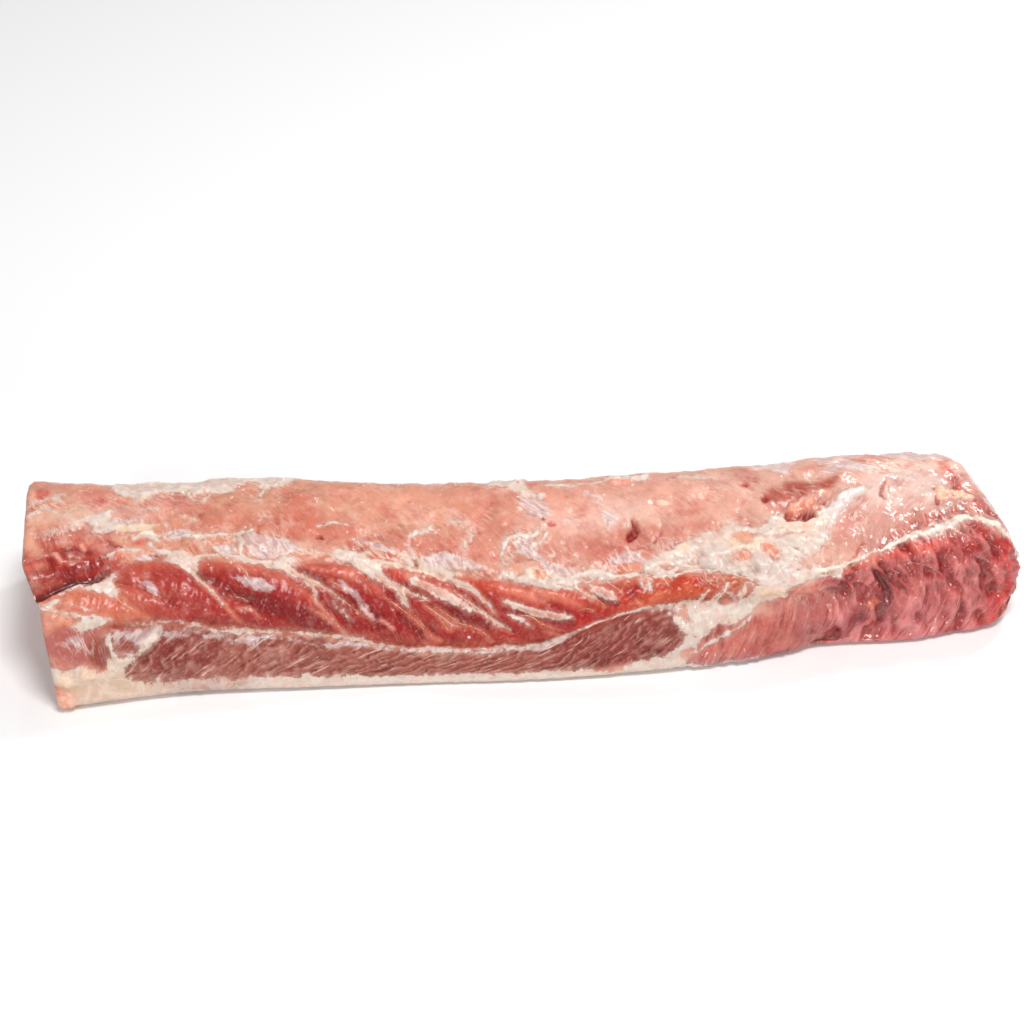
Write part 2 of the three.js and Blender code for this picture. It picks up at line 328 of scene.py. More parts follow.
# %% The seams, each as (along, round, half width) points
SEAMS = [
    [(3, 58, 1.0), (8, 50, 0.8), (13, 42, 0.7), (20, 34, 0.5)],
    [(7, 58, 0.7), (12, 48, 0.7), (17, 40, 0.6), (23, 34, 0.5)],
    [(42, 51, 0.8), (45, 45, 0.7), (51, 39, 0.5), (58, 33, 0.4), (63, 30, 0.3)],
    [(46, 49, 0.4), (48, 42, 0.4), (54, 36, 0.3)],
    [(90, 58, 1.0), (90, 53, 1.0), (94, 49, 0.9), (99, 43, 0.7), (104, 36, 0.6), (108, 32, 0.6),
     (114, 31, 0.4)],
    [(104, 47, 0.3), (110, 46.5, 0.5), (113, 45, 0.3)],
    [(107, 40, 0.2), (113, 41, 0.4), (116, 39, 0.4), (117.5, 37, 0.2)],
    [(116, 66, 0.5), (117, 62, 0.6), (116, 58, 0.3)],
    [(141, 64.5, 1.2), (146, 61, 1.5), (150, 56, 1.0), (150.5, 51, 0.8), (151, 47, 0.6), (156, 42, 0.5),
     (163, 33.5, 0.4)],
    [(146, 61, 0.9), (151, 58.4, 0.9), (158, 55, 0.6), (165, 50, 0.6), (172, 45, 0.5), (179, 41, 0.3)],
    [(146, 44, 0.3), (152, 41.5, 0.4), (158, 38, 0.4), (163, 34, 0.3)],
    [(160, 59.5, 0.3), (165, 57.6, 0.6), (170, 56, 0.4)],
    [(186, 64, 1.2), (191, 61, 1.4), (197, 58, 1.3), (199, 53, 0.9), (201, 49, 0.5)],
    [(196, 59, 0.9), (204, 56, 0.7), (213, 54, 0.4)],
    [(189, 53, 0.2), (196, 48.5, 0.4), (204, 42.5, 0.4), (211, 36, 0.4), (217, 33.5, 0.2)],
    [(201, 48, 0.3), (206, 43, 0.4), (209, 39, 0.4), (212, 36, 0.3)],
    [(210, 50.5, 0.4), (215, 47.5, 0.8), (219, 45, 0.7), (223, 42.5, 0.8), (227, 41.5, 0.4)],
    [(215, 47, 0.3), (219, 43, 0.5), (220.5, 40, 0.5), (222.5, 39.4, 0.4)],
    [(216, 50, 0.3), (222, 46.5, 0.5), (228, 43, 0.6), (234, 42, 0.6), (240, 39.5, 0.8), (244, 35, 0.4),
     (246, 32.5, 0.3)],
    [(222, 66, 1.2), (231, 63.7, 1.0), (238, 62, 0.9), (241, 59, 0.8), (244, 55, 0.7), (248, 49.5, 0.4)],
    [(229, 58, 0.3), (236, 53.5, 0.6), (243, 48.5, 0.7), (248, 44.5, 0.9), (252, 42, 1.0),
     (255, 40.5, 0.6)],
    [(262, 50, 0.3), (268, 49.3, 0.7), (273, 45, 0.6), (279, 41, 0.6), (283, 38, 0.5)],
    [(275, 39, 0.2), (279, 36.5, 0.5), (283, 33.5, 0.4)],
    [(284, 70, 0.5), (290, 69, 0.9), (295, 66, 0.7), (300, 61.5, 0.5), (304, 57, 0.6), (307, 53, 0.5),
     (310, 46, 0.3)],
    [(312, 70, 0.8), (315, 66, 0.5), (318, 60, 0.4), (320, 53, 0.2)],
    [(296, 50.5, 0.2), (300, 49.6, 0.5), (303, 47, 0.3)],
    [(343, 66, 0.5), (344, 60, 0.6), (345, 54, 0.6), (346, 49, 0.3)],
    [(347, 66, 0.3), (348, 61, 0.5), (348.5, 57, 0.3)],
    [(367, 72, 0.9), (367.5, 66, 0.7), (367, 60, 0.5), (368, 54, 0.4), (370, 50, 0.2)],
    [(375.5, 66, 0.3), (376.5, 62, 0.6), (377, 58, 0.3)],
    [(372, 62, 0.2), (373, 59, 0.5), (373.5, 57, 0.2)],
    [(326.5, 46, 0.2), (327.5, 42, 0.6), (330, 38, 0.3)],
]
SEAM = joined(*[line_distance(points, A, W) for points in SEAMS])
CREASE_LINE = [(-6, 65, 0), (5, 66, 0), (15, 67.5, 0), (25, 68, 0), (40, 66, 0), (48, 66.5, 0), (57, 68, 0)]
CREASE = -line_distance(CREASE_LINE, A + 0.3 * WARP_A, W + 0.3 * WARP_W)
print(len(SEAMS), "seams")

# %% [markdown]
# ### Fat
#
# Hard white fat lies between the muscles and along the shoulder, where the ribs were lifted off. A layer of
# it closes the underside and shows as a band along the foot. Each stroke or patch below is one piece of fat,
# roughly from left to right. Islands are places where lean shows through it, and tongues are flaps of
# membrane that were pulled up from the strips and lie flat on them.

# %% The fat band and the left corner
band_top = np.interp(A, [0, 45, 60, 130, 190, 225, 250, 300, 318, 335, 350, 372, 400],
                     [16, 9.5, 8, 8.5, 9, 9, 9, 8, 5, 8, 9, 3, -4])
FAT_BAND = np.where(IN_FRONT, band_top - MAP_W, MAP_W - 202 + 16 * cloud(BASE * (0.6, 1, 1), 24, 3, 34))
GROOVE_FAT = stroke((46, 31, 0.2), (60, 30, 0.7), (72, 30.5, 0.3), (95, 27, 0.8), (110, 28.5, 0.9),
                    (125, 29.5, 0.3), (145, 30, 0.9), (165, 30.5, 1.2), (185, 28.5, 0.3), (205, 28.5, 0.9),
                    (222, 28, 0.4), (240, 27, 0.6), (256, 28, 0.8), (280, 29, 1.1), (296, 34, 0.9),
                    (318, 35.5, 0.9), (335, 32, 0.7), (352, 28.5, 0.9))
CORNER_FAT = joined(
    patch((2, 20), (8, 16), (16, 18), (24, 16), (30, 15), (35, 20), (33, 28), (36, 29), (37, 22), (40, 18),
          (50, 22), (58, 26), (64, 29), (60, 24), (50, 19), (38, 13), (48, 8), (48, -9), (-9, -9)),
    patch((17, 34), (22, 31), (30, 32), (36, 34), (34, 38), (29, 37), (24, 40)),
    patch((-2, 53), (-2, 62), (6, 60), (12, 60), (16, 57), (9, 55), (4, 52)),
    stroke((4, 54, 0.8), (12, 48, 0.9), (20, 42, 0.8), (30, 38, 1.2), (38, 35, 0.6)),
    stroke((10, 57, 0.5), (20, 50, 0.5), (28, 44, 0.3)),
)

# %% Fat along the shoulder
SHOULDER_FAT = joined(
    patch((12, 62.5), (20, 65), (30, 66.5), (44, 66), (50, 65), (50, 62), (46, 59), (47, 53), (43, 50),
          (38, 53), (34, 56), (30, 60), (28, 63), (20, 63)),
    patch((77, 68), (80, 74), (85, 77), (90, 75), (95, 70), (99, 69.5), (96, 66), (92, 61), (90, 54),
          (88, 58), (83, 64)),
    stroke((95, 70, 1.0), (103, 72, 0.8), (110, 73.5, 0.8), (117, 72, 1.2), (122, 71, 2.0)),
    patch((116, 70), (120, 75), (126, 72), (132, 70), (138, 72), (143, 74), (147, 73), (146, 70), (142, 67),
          (141, 64), (145, 61), (141, 61), (134, 65), (126, 67), (120, 69)),
    stroke((141, 64.5, 2.2), (146, 61, 1.9), (150, 56, 1.3), (150.5, 51, 0.9), (151, 47, 0.3)),
    stroke((146, 61, 1.2), (151, 58.4, 1.0), (158, 55, 0.5), (164, 51, 0.2)),
    stroke((186, 64, 2.2), (191, 61, 2.0), (197, 58, 1.6), (199, 53, 1.1), (201, 49, 0.4)),
    stroke((196, 59, 1.2), (204, 56, 0.8), (213, 54, 0.3)),
    stroke((222, 66, 1.8), (231, 63.7, 1.5), (238, 62, 1.3), (241, 59, 1.1), (244, 55, 0.9),
           (248, 49.5, 0.3)),
    stroke((230, 58, 0.3), (236, 53.5, 0.7), (243, 48.5, 0.8), (248, 44.5, 1.1), (252, 42, 1.2),
           (255, 40.5, 0.6)),
    stroke((90, 58, 1.6), (90, 53, 1.2), (94, 49, 0.9), (99, 43, 0.3)),
    stroke((284, 70, 1.0), (290, 69, 1.3), (295, 66, 1.0), (300, 61.5, 0.7), (304, 57, 0.3)),
    stroke((106, 78, 0.8), (108, 76, 1.0), (112, 74, 0.8)),
    stroke((102, 89, 1.2), (110, 91, 1.2), (118, 93, 1.4), (122, 94, 1.2), (127, 95, 1.4)),
    stroke((120, 91, 1.2), (122, 85, 1.6), (121, 79, 1.2), (121, 74, 1.5)),
    stroke((118, 90, 0.6), (118, 82, 0.6), (117.5, 75, 0.6)),
    stroke((149, 83, 0.8), (151, 79.5, 1.0), (155, 77.5, 0.8), (162, 77, 0.4)),
    patch((166, 76), (169, 79), (175, 80), (180, 77), (186, 79), (185, 73), (192, 71.5), (200, 71),
          (208, 69), (222, 67), (232, 64.5), (226, 63), (212, 66), (200, 68.5), (190, 69), (188, 65),
          (184, 61), (180, 65), (174, 69), (168, 72)),
    patch((200, 75), (206, 79), (211, 76), (216, 72), (226, 70), (233, 69), (228, 66), (214, 68),
          (207, 71)),
    stroke((228, 71, 0.8), (236, 73, 0.8), (243, 75, 0.6), (246, 78, 0.4)),
    patch((255, 72), (256, 79), (260, 76), (262, 79), (264, 75), (268, 77), (271, 81), (276, 81), (280, 77),
          (288, 76), (294, 75.5), (299, 79), (305, 80), (311, 78), (314, 75), (318, 76), (320, 72),
          (331, 72), (336, 66), (334, 63), (328, 68), (318, 70), (306, 71.5), (296, 70), (292, 66),
          (286, 68), (276, 68), (266, 70)),
    patch((336, 64), (342, 67), (350, 66), (355, 70), (362, 72), (372, 72), (384, 70), (387, 65), (391, 67),
          (396, 63), (388, 63.5), (382, 68), (366, 70), (356, 67), (350, 63), (342, 62.5)),
)

# %% Fat on the top
top_fat = joined(
    patch((50, 176), (50, 141), (56, 134), (63, 131), (67, 126), (70, 126), (72, 132), (77, 136),
          (84, 138.5), (90, 137), (93, 130), (97, 124), (99, 131), (105, 134), (110, 133), (119, 134),
          (121, 141), (130, 146), (134, 142), (135, 137), (138, 139), (146, 138), (150, 142), (154, 148),
          (157, 176)),
    stroke((102, 123, 0.7), (104, 126, 0.8), (106, 130, 0.5), (107, 134, 0.8)),
    stroke((134, 124, 0.5), (135, 131, 0.7), (137, 136, 0.8), (139, 139, 1.5)),
    patch((33, 110), (36, 113), (41, 114), (46, 117), (51, 118), (49, 113), (51, 108), (55, 104), (64, 102),
          (73, 102), (75, 99), (72, 96), (66, 94), (58, 97), (50, 98), (42, 99), (39, 106)),
    stroke((13, 105, 0.4), (18, 106, 0.6), (24, 106, 0.5), (31, 108, 0.7), (35, 111, 1.0)),
    stroke((2, 128, 0.6), (8, 131, 0.8), (14, 134, 1.0), (19, 134, 1.0), (23, 131, 0.5)),
    stroke((17, 137, 0.6), (22, 137, 0.5), (27, 134, 0.3)),
    stroke((4, 120, 1.6), (8, 123, 1.2), (11, 125, 0.6)),
    stroke((12, 125, 0.4), (18, 122, 0.5), (24, 117, 0.4), (30, 111, 0.4)),
    stroke((62, 89, 1.2), (66, 91, 1.8), (71, 92, 2.4), (74, 88, 2.0), (77, 85, 1.0)),
    stroke((71, 84, 1.4), (72, 79, 1.0), (78, 76, 2.0), (84, 74, 3.0)),
    stroke((73, 101, 0.5), (73, 94, 0.6), (76, 90, 0.6)),
    stroke((80, 101, 0.6), (81.5, 94, 0.8), (80, 87, 0.6)),
    stroke((48, 77, 0.5), (54, 79, 0.8), (60, 78.5, 0.9), (66, 78, 0.6)),
    stroke((83, 88, 0.9), (92, 88.5, 1.3), (98, 88, 1.3), (104, 89, 1.2)),
    stroke((72, 118.5, 0.7), (76, 115.5, 0.5)), stroke((92, 108, 0.4), (96, 106, 0.5)),
    stroke((132.5, 105, 0.3), (134, 107.5, 0.6), (137, 109.5, 0.4)),
    stroke((165, 101, 0.4), (170, 103.5, 0.8), (174, 104, 1.0), (181, 103, 0.5)),
    stroke((211, 95, 1.2), (216, 97.5, 1.2), (221, 101, 1.6), (225, 102, 1.0)),
    stroke((223, 102, 1.2), (225, 105, 0.8), (228, 109, 0.3)),
    stroke((208, 88, 0.2), (209, 84, 0.5), (208, 80, 0.3)),
    stroke((239, 111, 0.3), (243, 112, 0.6), (249, 112.5, 0.3)),
    stroke((248, 106, 0.4), (246, 100, 0.6), (244, 97, 0.3)), stroke((241, 96, 0.2), (240.6, 91, 0.5)),
    patch((267, 176), (266, 144), (271, 147), (276, 142), (281, 139), (283, 133), (288, 133), (294, 137),
          (297, 133), (294, 131), (291, 136), (288, 147), (289, 176)),
    stroke((258.5, 84, 0.5), (259, 90, 0.8), (262, 96, 1.0), (267, 102, 1.0), (272, 103.5, 1.3),
           (278, 103, 1.6), (283, 104.5, 1.0), (288, 108, 0.6)),
    stroke((277, 94, 1.2), (280, 97.5, 1.4), (284, 100, 0.8), (290, 105, 0.6)),
    stroke((261, 84, 0.2), (264, 91, 0.4), (270, 93, 0.5), (275, 89, 0.3)),
    stroke((301, 145, 1.0), (306, 143, 1.2), (312, 142, 1.0), (317, 139, 0.6)),
    stroke((317, 142.5, 0.8), (325, 143.5, 1.2), (333, 143.5, 1.4), (338, 149, 1.4), (346, 150, 1.6),
           (350, 146, 3.0), (356, 144, 2.4), (361, 150, 1.6)),
    stroke((371, 143, 0.8), (384, 143.5, 1.0), (398, 143, 0.7)),
)

# %% Fat round the end of the long seam
END_FAT = joined(
    patch((333, 72), (338, 78), (346, 81), (352, 84), (357, 88), (362, 90), (370, 93), (378, 97),
          (388, 101), (395, 107), (399, 104), (402, 102.5), (410, 103), (417, 105), (420, 109), (427, 111),
          (430, 106), (437, 106), (440, 104), (446, 103), (451, 106), (460, 111), (466, 116), (474, 117.5),
          (480, 117), (480, 112), (470, 109), (461, 103), (453, 96), (445, 89), (436, 84), (427, 81),
          (417, 80), (421, 76), (418, 73), (412, 68), (400, 62), (393, 66), (386, 68), (378, 71), (370, 73),
          (358, 73), (350, 67), (342, 66)),
    patch((400, 66), (396, 60), (402, 58), (410, 52), (414, 56), (418, 61), (424, 64), (432, 66), (438, 65),
          (441, 59), (444, 66), (446, 70), (440, 70), (436, 67.5), (428, 73), (418, 73)),
    stroke((428, 73, 1.4), (436, 69.5, 1.8), (445, 71, 1.2), (455, 71, 1.0), (465, 72, 1.2), (480, 73, 1.5),
           (492, 75, 2.0), (503, 75.5, 2.8), (514, 79, 2.8), (522, 83, 2.8), (530, 86, 3.2), (538, 81, 2.8),
           (543, 75, 2.6), (549, 67, 1.6)),
    stroke((514, 91, 0.4), (521, 94, 0.7), (527, 97, 0.7), (534, 99, 0.4)),
    stroke((347, 8, 0.8), (358, 13, 1.8), (370, 19, 2.0), (380, 24, 1.0)),
    stroke((352, 4, 0.4), (366, 10, 1.0), (380, 16, 0.8), (392, 21, 0.4)),
    stroke((346, 26, 0.8), (354, 21, 2.0), (360, 14, 1.6), (364, 10, 0.6)),
    patch((345, 30), (354, 28), (359, 22), (356, 18), (364, 15), (371, 19), (385, 20), (393, 25), (400, 29),
          (408, 33), (413, 40), (413, 52), (408, 58), (400, 60), (394, 56), (396, 44), (392, 32), (386, 31),
          (378, 27), (368, 30), (356, 31)),
)
ISLANDS = joined(
    spot(399, 95.5, 7, 3, 8), spot(408, 86, 4.6, 5), spot(391, 82.5, 6, 3.4, 25),
    spot(423, 85.5, 1.2, 4, 30),
    stroke((410, 94.5, 0.4), (422, 95, 0.6), (434, 96, 0.4)), spot(396, 91, 4, 2), spot(66, 84.5, 4.4, 3),
    spot(29, 21.5, 5.4, 5.0, -25), spot(45.5, 23, 6.5, 2.6, -22), spot(276.5, 77, 3.4, 3, -20),
    spot(325, 75.5, 8, 3.6, 12), spot(301, 73.5, 5, 1.8, -8), spot(350, 73, 6, 1.6, 10),
    spot(194, 76, 9, 3.4, 4), spot(210, 72.5, 1.2, 2.8, 20), spot(33, 64, 2, 1.2),
    stroke((380, 34, 1.5), (384, 29, 1.2)), stroke((412, 42, 0.3), (413, 47, 0.8), (412.5, 51, 0.4)),
    spot(74, 72, 3, 2.2), spot(360, 75, 3, 0.6), spot(35, 106, 3, 3.5, -40),
)
TONGUES = joined(
    stroke((205, 62, 0.8), (213, 59.5, 2.4), (222, 56.5, 3.0), (230, 53, 2.2), (238, 50, 0.3)),
    stroke((254, 57.5, 1.0), (266, 54, 2.5), (278, 50.5, 3.1), (285, 48, 2.2), (291, 46, 0.3)),
    stroke((255, 50.5, 0.4), (261, 48, 1.2), (268, 43.5, 0.2)),
    stroke((302, 68, 1.2), (307, 62, 3.0), (312, 56, 3.3), (316, 50, 1.4)),
    stroke((333, 67, 2.2), (333, 60, 3.2), (333.5, 54, 2.4), (336, 47, 0.3)),
    stroke((160, 48, 0.2), (164, 44.5, 0.6), (167, 41, 0.2)),
    stroke((364, 31, 1.4), (367, 40, 0.5)), stroke((372, 30, 2.0), (376, 42, 1.2), (379, 54, 0.3)),
    stroke((384, 30, 2.6), (387, 44, 1.8), (388, 58, 0.4)),
    stroke((392, 34, 2.0), (394, 50, 1.4), (392, 60, 0.6)),
)
TOP_FAT = np.minimum(top_fat, 168 + 30 * cloud(BASE, 30, 3, 27) - MAP_W)
FAT = np.minimum(joined(FAT_BAND, CORNER_FAT, SHOULDER_FAT, TOP_FAT, END_FAT, TONGUES, GROOVE_FAT),
                 -ISLANDS)
FAT = np.minimum(FAT, CREASE - 2.0)
print(f"fat covers {100 * (FAT > 0).mean():.0f} % of the grid")

# %% [markdown]
# ### Silverskin
#
# Silverskin is the thin wrapping of a muscle. Where it was left on, lean looks lilac or milky under it, and
# it catches the light. It gets a measure of its own, because it covers softly where fat covers sharply.

# %% Silverskin
SILVER = joined(
    stroke((58, 28, 0.8), (70, 25, 0.8), (80, 27, 0.2), (92, 25, 0.6), (102, 24, 0.4), (112, 24.5, 1.8),
           (121, 26.5, 1.0), (132, 27, 0.2), (150, 24, 0.2), (158, 26, 0.8), (168, 28, 1.8), (180, 27, 0.4),
           (196, 26, 0.2), (208, 29, 1.6), (216, 29.5, 0.8), (226, 29, 0.2), (240, 28, 0.6),
           (252, 29.5, 1.4), (262, 28, 1.0), (274, 26.5, 2.4), (284, 29.5, 2.2), (294, 32.5, 1.4),
           (304, 35, 0.6), (312, 35, 1.0), (326, 33, 0.8), (340, 30, 0.8), (350, 27, 1.0)),
    patch((8, 26), (10, 32), (20, 33), (28, 31), (34, 29), (30, 27), (24, 24), (22, 19), (14, 22),
          (8, 23)) - 4.2,
    patch((36, 29), (46, 28), (58, 29), (66, 27), (62, 24), (52, 21), (44, 26), (38, 24)),
    patch((123, 92), (128, 94), (135, 90), (148, 89.5), (149, 86), (153, 81), (149, 78), (140, 74),
          (136, 71), (130, 72), (125, 78), (122, 85)),
    patch((50, 108), (54, 104), (62, 103), (70, 104), (68, 107), (58, 108), (52, 112)),
    patch((80, 96), (82, 87), (92, 86), (103, 87), (98, 93), (88, 97)),
    spot(112.5, 77.5, 6, 4.5), spot(175, 76, 6.5, 3.4, 15) - 1.8, spot(192, 83.5, 9, 2.5, -35),
    patch((212, 73), (216, 78), (225, 84), (234, 83), (241, 80), (248, 76), (240, 74), (232, 71),
          (222, 70)),
    patch((266, 98), (274, 103), (281, 100), (281, 92), (285, 86), (291, 84), (298, 80), (288, 74),
          (281, 77), (279, 84), (275, 90), (271, 94)),
    patch((281, 131), (283, 121), (288, 117), (293, 116), (297, 120), (296, 128), (291, 131)),
    spot(328.5, 112.5, 4.2, 6, -20),
    patch((314, 80), (324, 86), (332, 88), (338, 86), (337, 81), (344, 75), (341, 73), (336, 79),
          (326, 81)),
    stroke((321, 134, 1.5), (325, 129, 1.5), (329, 124, 1.0)), stroke((302, 114, 0.6), (307, 112, 0.6)),
    spot(377, 86, 7, 5, 20),
    patch((396, 80), (404, 82), (414, 78), (420, 76), (412, 66), (402, 58), (394, 66)),
    patch((376, 40), (380, 33), (383, 27), (386, 30), (382, 36), (380, 44)),
    patch((428, 164), (424, 148), (431, 145), (438, 139), (442, 138), (444, 145), (452, 152), (446, 162)),
    patch((456, 134), (470, 134), (480, 132), (492, 130), (496, 132), (488, 137), (482, 144), (478, 152),
          (462, 152), (462, 146), (470, 141)),
    patch((506, 160), (507, 150), (512, 144), (522, 141), (533, 143), (537, 140), (540, 148), (538, 164),
          (520, 170)),
    spot(68, 71.5, 6, 2.4, -5),
    9 * (cloud(BASE * (0.45, 1, 1), 26, 4, 26) - 0.3) - 0.2 * np.maximum(np.abs(W - 180) - 24, 0),
    stroke((385, 2, 2.6), (396, 1.5, 2.6), (404, 3, 1.0)), stroke((366, 3, 1.4), (376, 2, 1.4)),
    spot(430, 104, 9, 2.5, -8), spot(472, 114, 9, 3, 8),
    patch((162, 61), (168, 60), (173, 56), (178, 49), (180, 46), (174, 48), (168, 53)) - 0.8,
    patch((107, 57), (111, 60), (117, 60), (124, 59), (131, 54), (128, 50), (121, 50), (114, 51),
          (109, 54)) - 1.2,
    patch((60, 56), (64, 55), (66, 50), (64, 47), (60, 50)),
)
print(f"silverskin covers {100 * (SILVER > 0).mean():.0f} % of the grid")

# %% [markdown]
# ### The two end faces
#
# At the left end the loin was cut straight across, so the face shows its muscles in section: the round eye,
# the roll over it, the thin strips in front, and the fat cap underneath. The right end is a rounder cut with
# the coarse muscle in front. A face has no "along", so it is laid out by width and height instead.

# %% The muscles of the cut face
FACE = smooth(0.985, 0.93, TIP) * (A < LENGTH / 2)
face_y, face_z = BASE[..., 1] + WARP_A, BASE[..., 2] + WARP_W


def face_spot(y, z, reach_y, reach_z, turn=0):
    return oval(face_y - y, face_z - z, reach_y, reach_z, turn)


EYE, FACE_ROLL = face_spot(18, 37, 46, 25, 6), face_spot(-32, 52, 20, 12, 20)
FACE_STRIP, FACE_BAND = face_spot(-46, 33, 9, 17, -8), face_spot(-34, 15, 18, 6)
face_fat = joined(9 - face_z, 1.1 - np.abs(EYE), 0.7 - np.abs(FACE_ROLL),
                  np.minimum(-EYE, 2.5 - np.abs(face_z - 14)))
RIGHT_FACE = smooth(0.94, 0.8, TIP) * (A > LENGTH / 2)
RIGHT_EYE = face_y + 36 - 0.55 * (52 - face_z)
right_fat = joined(7 - face_z, np.minimum(1.2 - np.abs(RIGHT_EYE), 56 - face_z))
FAT = np.where(FACE > 0.5, face_fat, np.where(RIGHT_FACE > 0.5, right_fat, FAT))
SILVER = np.where((FACE > 0.5) | (RIGHT_FACE > 0.5), -9, SILVER)
COVERED = joined(FAT, SILVER)
print(f"end faces cover {100 * (FACE + RIGHT_FACE > 0.5).mean():.1f} % of the grid")

# %% [markdown]
# ### Cuts and pits
#
# The boning knife left slits and pockets, and furrows open between the bundles of the coarse end muscle.
# Each has a depth in mm. They are pressed into the skin, and their floors are painted a darker red, as
# painted shade.

# %% Cuts, pits and furrows
CUTS = [
    (3.5,
     patch((334, 95), (335, 99), (339, 104), (341, 110), (343, 108), (342, 102), (340, 98), (337, 96))),
    (3.5,
     patch((428, 108), (431, 112), (437, 109), (443, 108), (446, 104), (441, 103), (434, 106), (429, 106))),
    (2.5,
     stroke((488.5, 104, 0.3), (486.8, 108, 0.8), (488.5, 113, 0.7), (492, 117, 0.5), (496, 123, 0.3))),
    (2.5, stroke((517, 96, 0.5), (517.5, 103, 1.2), (519, 109, 0.7))),
    (1.6, stroke((531, 108, 0.8), (533, 115, 1.2), (536, 122, 0.8))),
    (2.0, spot(164.5, 91, 2.0, 1.6)), (0.5, spot(412, 133, 2.6, 2)), (1.8, spot(421, 121, 2, 2.6, -30)),
    (1.6, stroke((91, 130.5, 0.7), (92, 134, 1.2), (94, 138, 0.6))), (1.0, spot(294, 110.6, 2.8, 1.6)),
    (1.4, spot(290, 115, 1, 1.8)), (1.4, spot(114, 78, 3, 2.4)), (2.2, spot(210.3, 72.8, 1.0, 2.4, 20)),
    (1.2, stroke((445, 71, 0.3), (452, 73, 0.6), (457, 77, 0.4), (464, 80, 0.3))),
    (1.2, stroke((241, 92, 0.2), (245, 97, 0.7), (247.5, 102, 0.3))),
    (1.2, stroke((347.5, 91, 0.2), (350, 94, 0.6), (355, 99, 0.3))),
    (1.4, stroke((131, 93, 0.3), (132, 97, 0.6), (132, 101, 0.3))),
    (2.0, stroke((48, 92, 0.5), (51, 87, 0.9), (56, 82, 0.5))),
    (1.4, stroke((32.5, 63.6, 0.9), (35.5, 64, 0.9))),
    (2.4, stroke((412, 40, 0.4), (413, 46, 0.9), (412.5, 51, 0.4))),
    (2.4, patch((527, 70), (529, 77), (536, 78), (538, 70), (540, 61), (537, 60), (531, 65))),
    (1.6, stroke((501, 8, 0.8), (503, 17, 1.2), (504.5, 25, 0.8))),
    (1.2, stroke((530, 20, 0.8), (529, 29, 1.6), (530, 40, 1.2), (528, 46, 0.6))),
    (1.2, spot(524, 63, 4.5, 3.0, -20)), (0.6, spot(465, 33, 4, 3)),
    (1.0, stroke((453, 12, 0.8), (455, 24, 1.2), (460, 36, 0.8))),
    (1.6, stroke((518, 10, 0.6), (517, 22, 1.0), (515, 34, 0.6))),
]
cut_depth = sum(-depth * soft(shape, 1.1) for depth, shape in CUTS)
CUT = joined(*[soft(shape, 0.9) for depth, shape in CUTS])

# %% Lumps, crumbs and tags, each with a height and a colour
LUMPS = [
    (3.2, joined(spot(521, 104, 4.5, 5), spot(528, 103, 5, 4), spot(534, 102, 5, 3.4)), (242, 192, 164)),
    (2.8, joined(spot(436, 110, 5, 5), spot(443, 112, 6, 4.6), spot(449, 108, 4, 3)), (226, 146, 120)),
    (2.2, stroke((491, 106, 1.0), (491, 112, 1.9), (495.5, 120, 1.2)), (232, 176, 156)),
    (1.6, spot(362, 120.5, 3.6, 2.2), (240, 204, 178)), (1.6, spot(295, 134, 2.6, 2.2), (240, 208, 186)),
    (1.6, spot(454, 118.5, 1.8, 1.4), (246, 222, 196)), (1.8, spot(342, 142, 7, 2.6), (226, 140, 124)),
    (1.8, spot(8, 13, 4, 3), (236, 172, 140)), (1.8, spot(20, 14, 3.4, 2.6), (216, 150, 120)),
    (2.0, spot(4, 4, 6, 5), (236, 172, 140)), (1.4, stroke((20, 89, 1.4), (23, 81, 0.9)), (228, 150, 130)),
    (1.4, stroke((33.5, 92, 1.4), (36, 88, 0.9)), (228, 150, 130)),
    (1.4, spot(177, 45, 5.0, 1.4, -40), (236, 206, 196)),
    (1.6, spot(276, 75, 4, 3), (232, 150, 112)), (1.2, spot(464, 25, 4, 3), (214, 120, 96)),
    (1.0, stroke((184, 42, 1.2), (190, 38, 0.8)), (222, 140, 128)),
    (1.4, spot(346, 147, 7, 2.4), (244, 226, 212)),
]
lump_noise = 1 + 1.4 * cloud(BASE, 3.4, 2, 25)
lump_height = 0.8 * sum(height * soft(shape, 1.4) for height, shape, colour in LUMPS) * lump_noise

# %% [markdown]
# ## The relief
#
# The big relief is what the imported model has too: the roll at the left end, the crease that parts it from
# the strips, the shallow beds of the ribs, the groove, the waist before the end muscle, its furrows, and the
# hollows of the top. On top of these come swellings between the seams, raised fat, and noise for bundles of
# fibres. Everything is a height in mm along the outward normal, so the parts simply add up.

# %% The big relief
roll_taper = np.sqrt(np.clip(1 - A / 72, 0, 1))
roll = 6 * hump(V, 4.35, 0.46) * roll_taper
crease = -(1.6 * hump(CREASE, 0, 2.2) + 3 * hump(CREASE, 0, 6)) * (1 - smooth(34, 58, A))
rib_phase = np.abs(np.sin(math.pi * (A - 14 + 26 * (V - 3)) / 46))
ribs = 2.4 * (np.sqrt(rib_phase) - 0.75) * within(V, 2.2, 3.9, 0.3) * within(A, 40, 345, 10)
groove = -2 * hump(V, 2, 0.16) * within(A, 34, 372, 12)
waist = -5 * hump(A, 456, 32) * hump(V, 0.5, 0.9)
# Hollows and swellings of the top, as (along, rail, height, reach along, reach in rails).
MARKS = [
    (337, 5.1, -3.5, 7, 0.3), (436, 5.4, -3.5, 12, 0.25), (395, 4.5, 2.5, 40, 0.5), (516, 5.2, 2, 9, 0.25),
    (30, 5.55, 1.5, 22, 0.3), (280, 5.6, 1.5, 16, 0.8), (490, 4.9, 2, 30, 0.8),
]
marks = sum(height * hump(A, a, reach_a) * hump(V, v, reach_v) for a, v, height, reach_a, reach_v in MARKS)
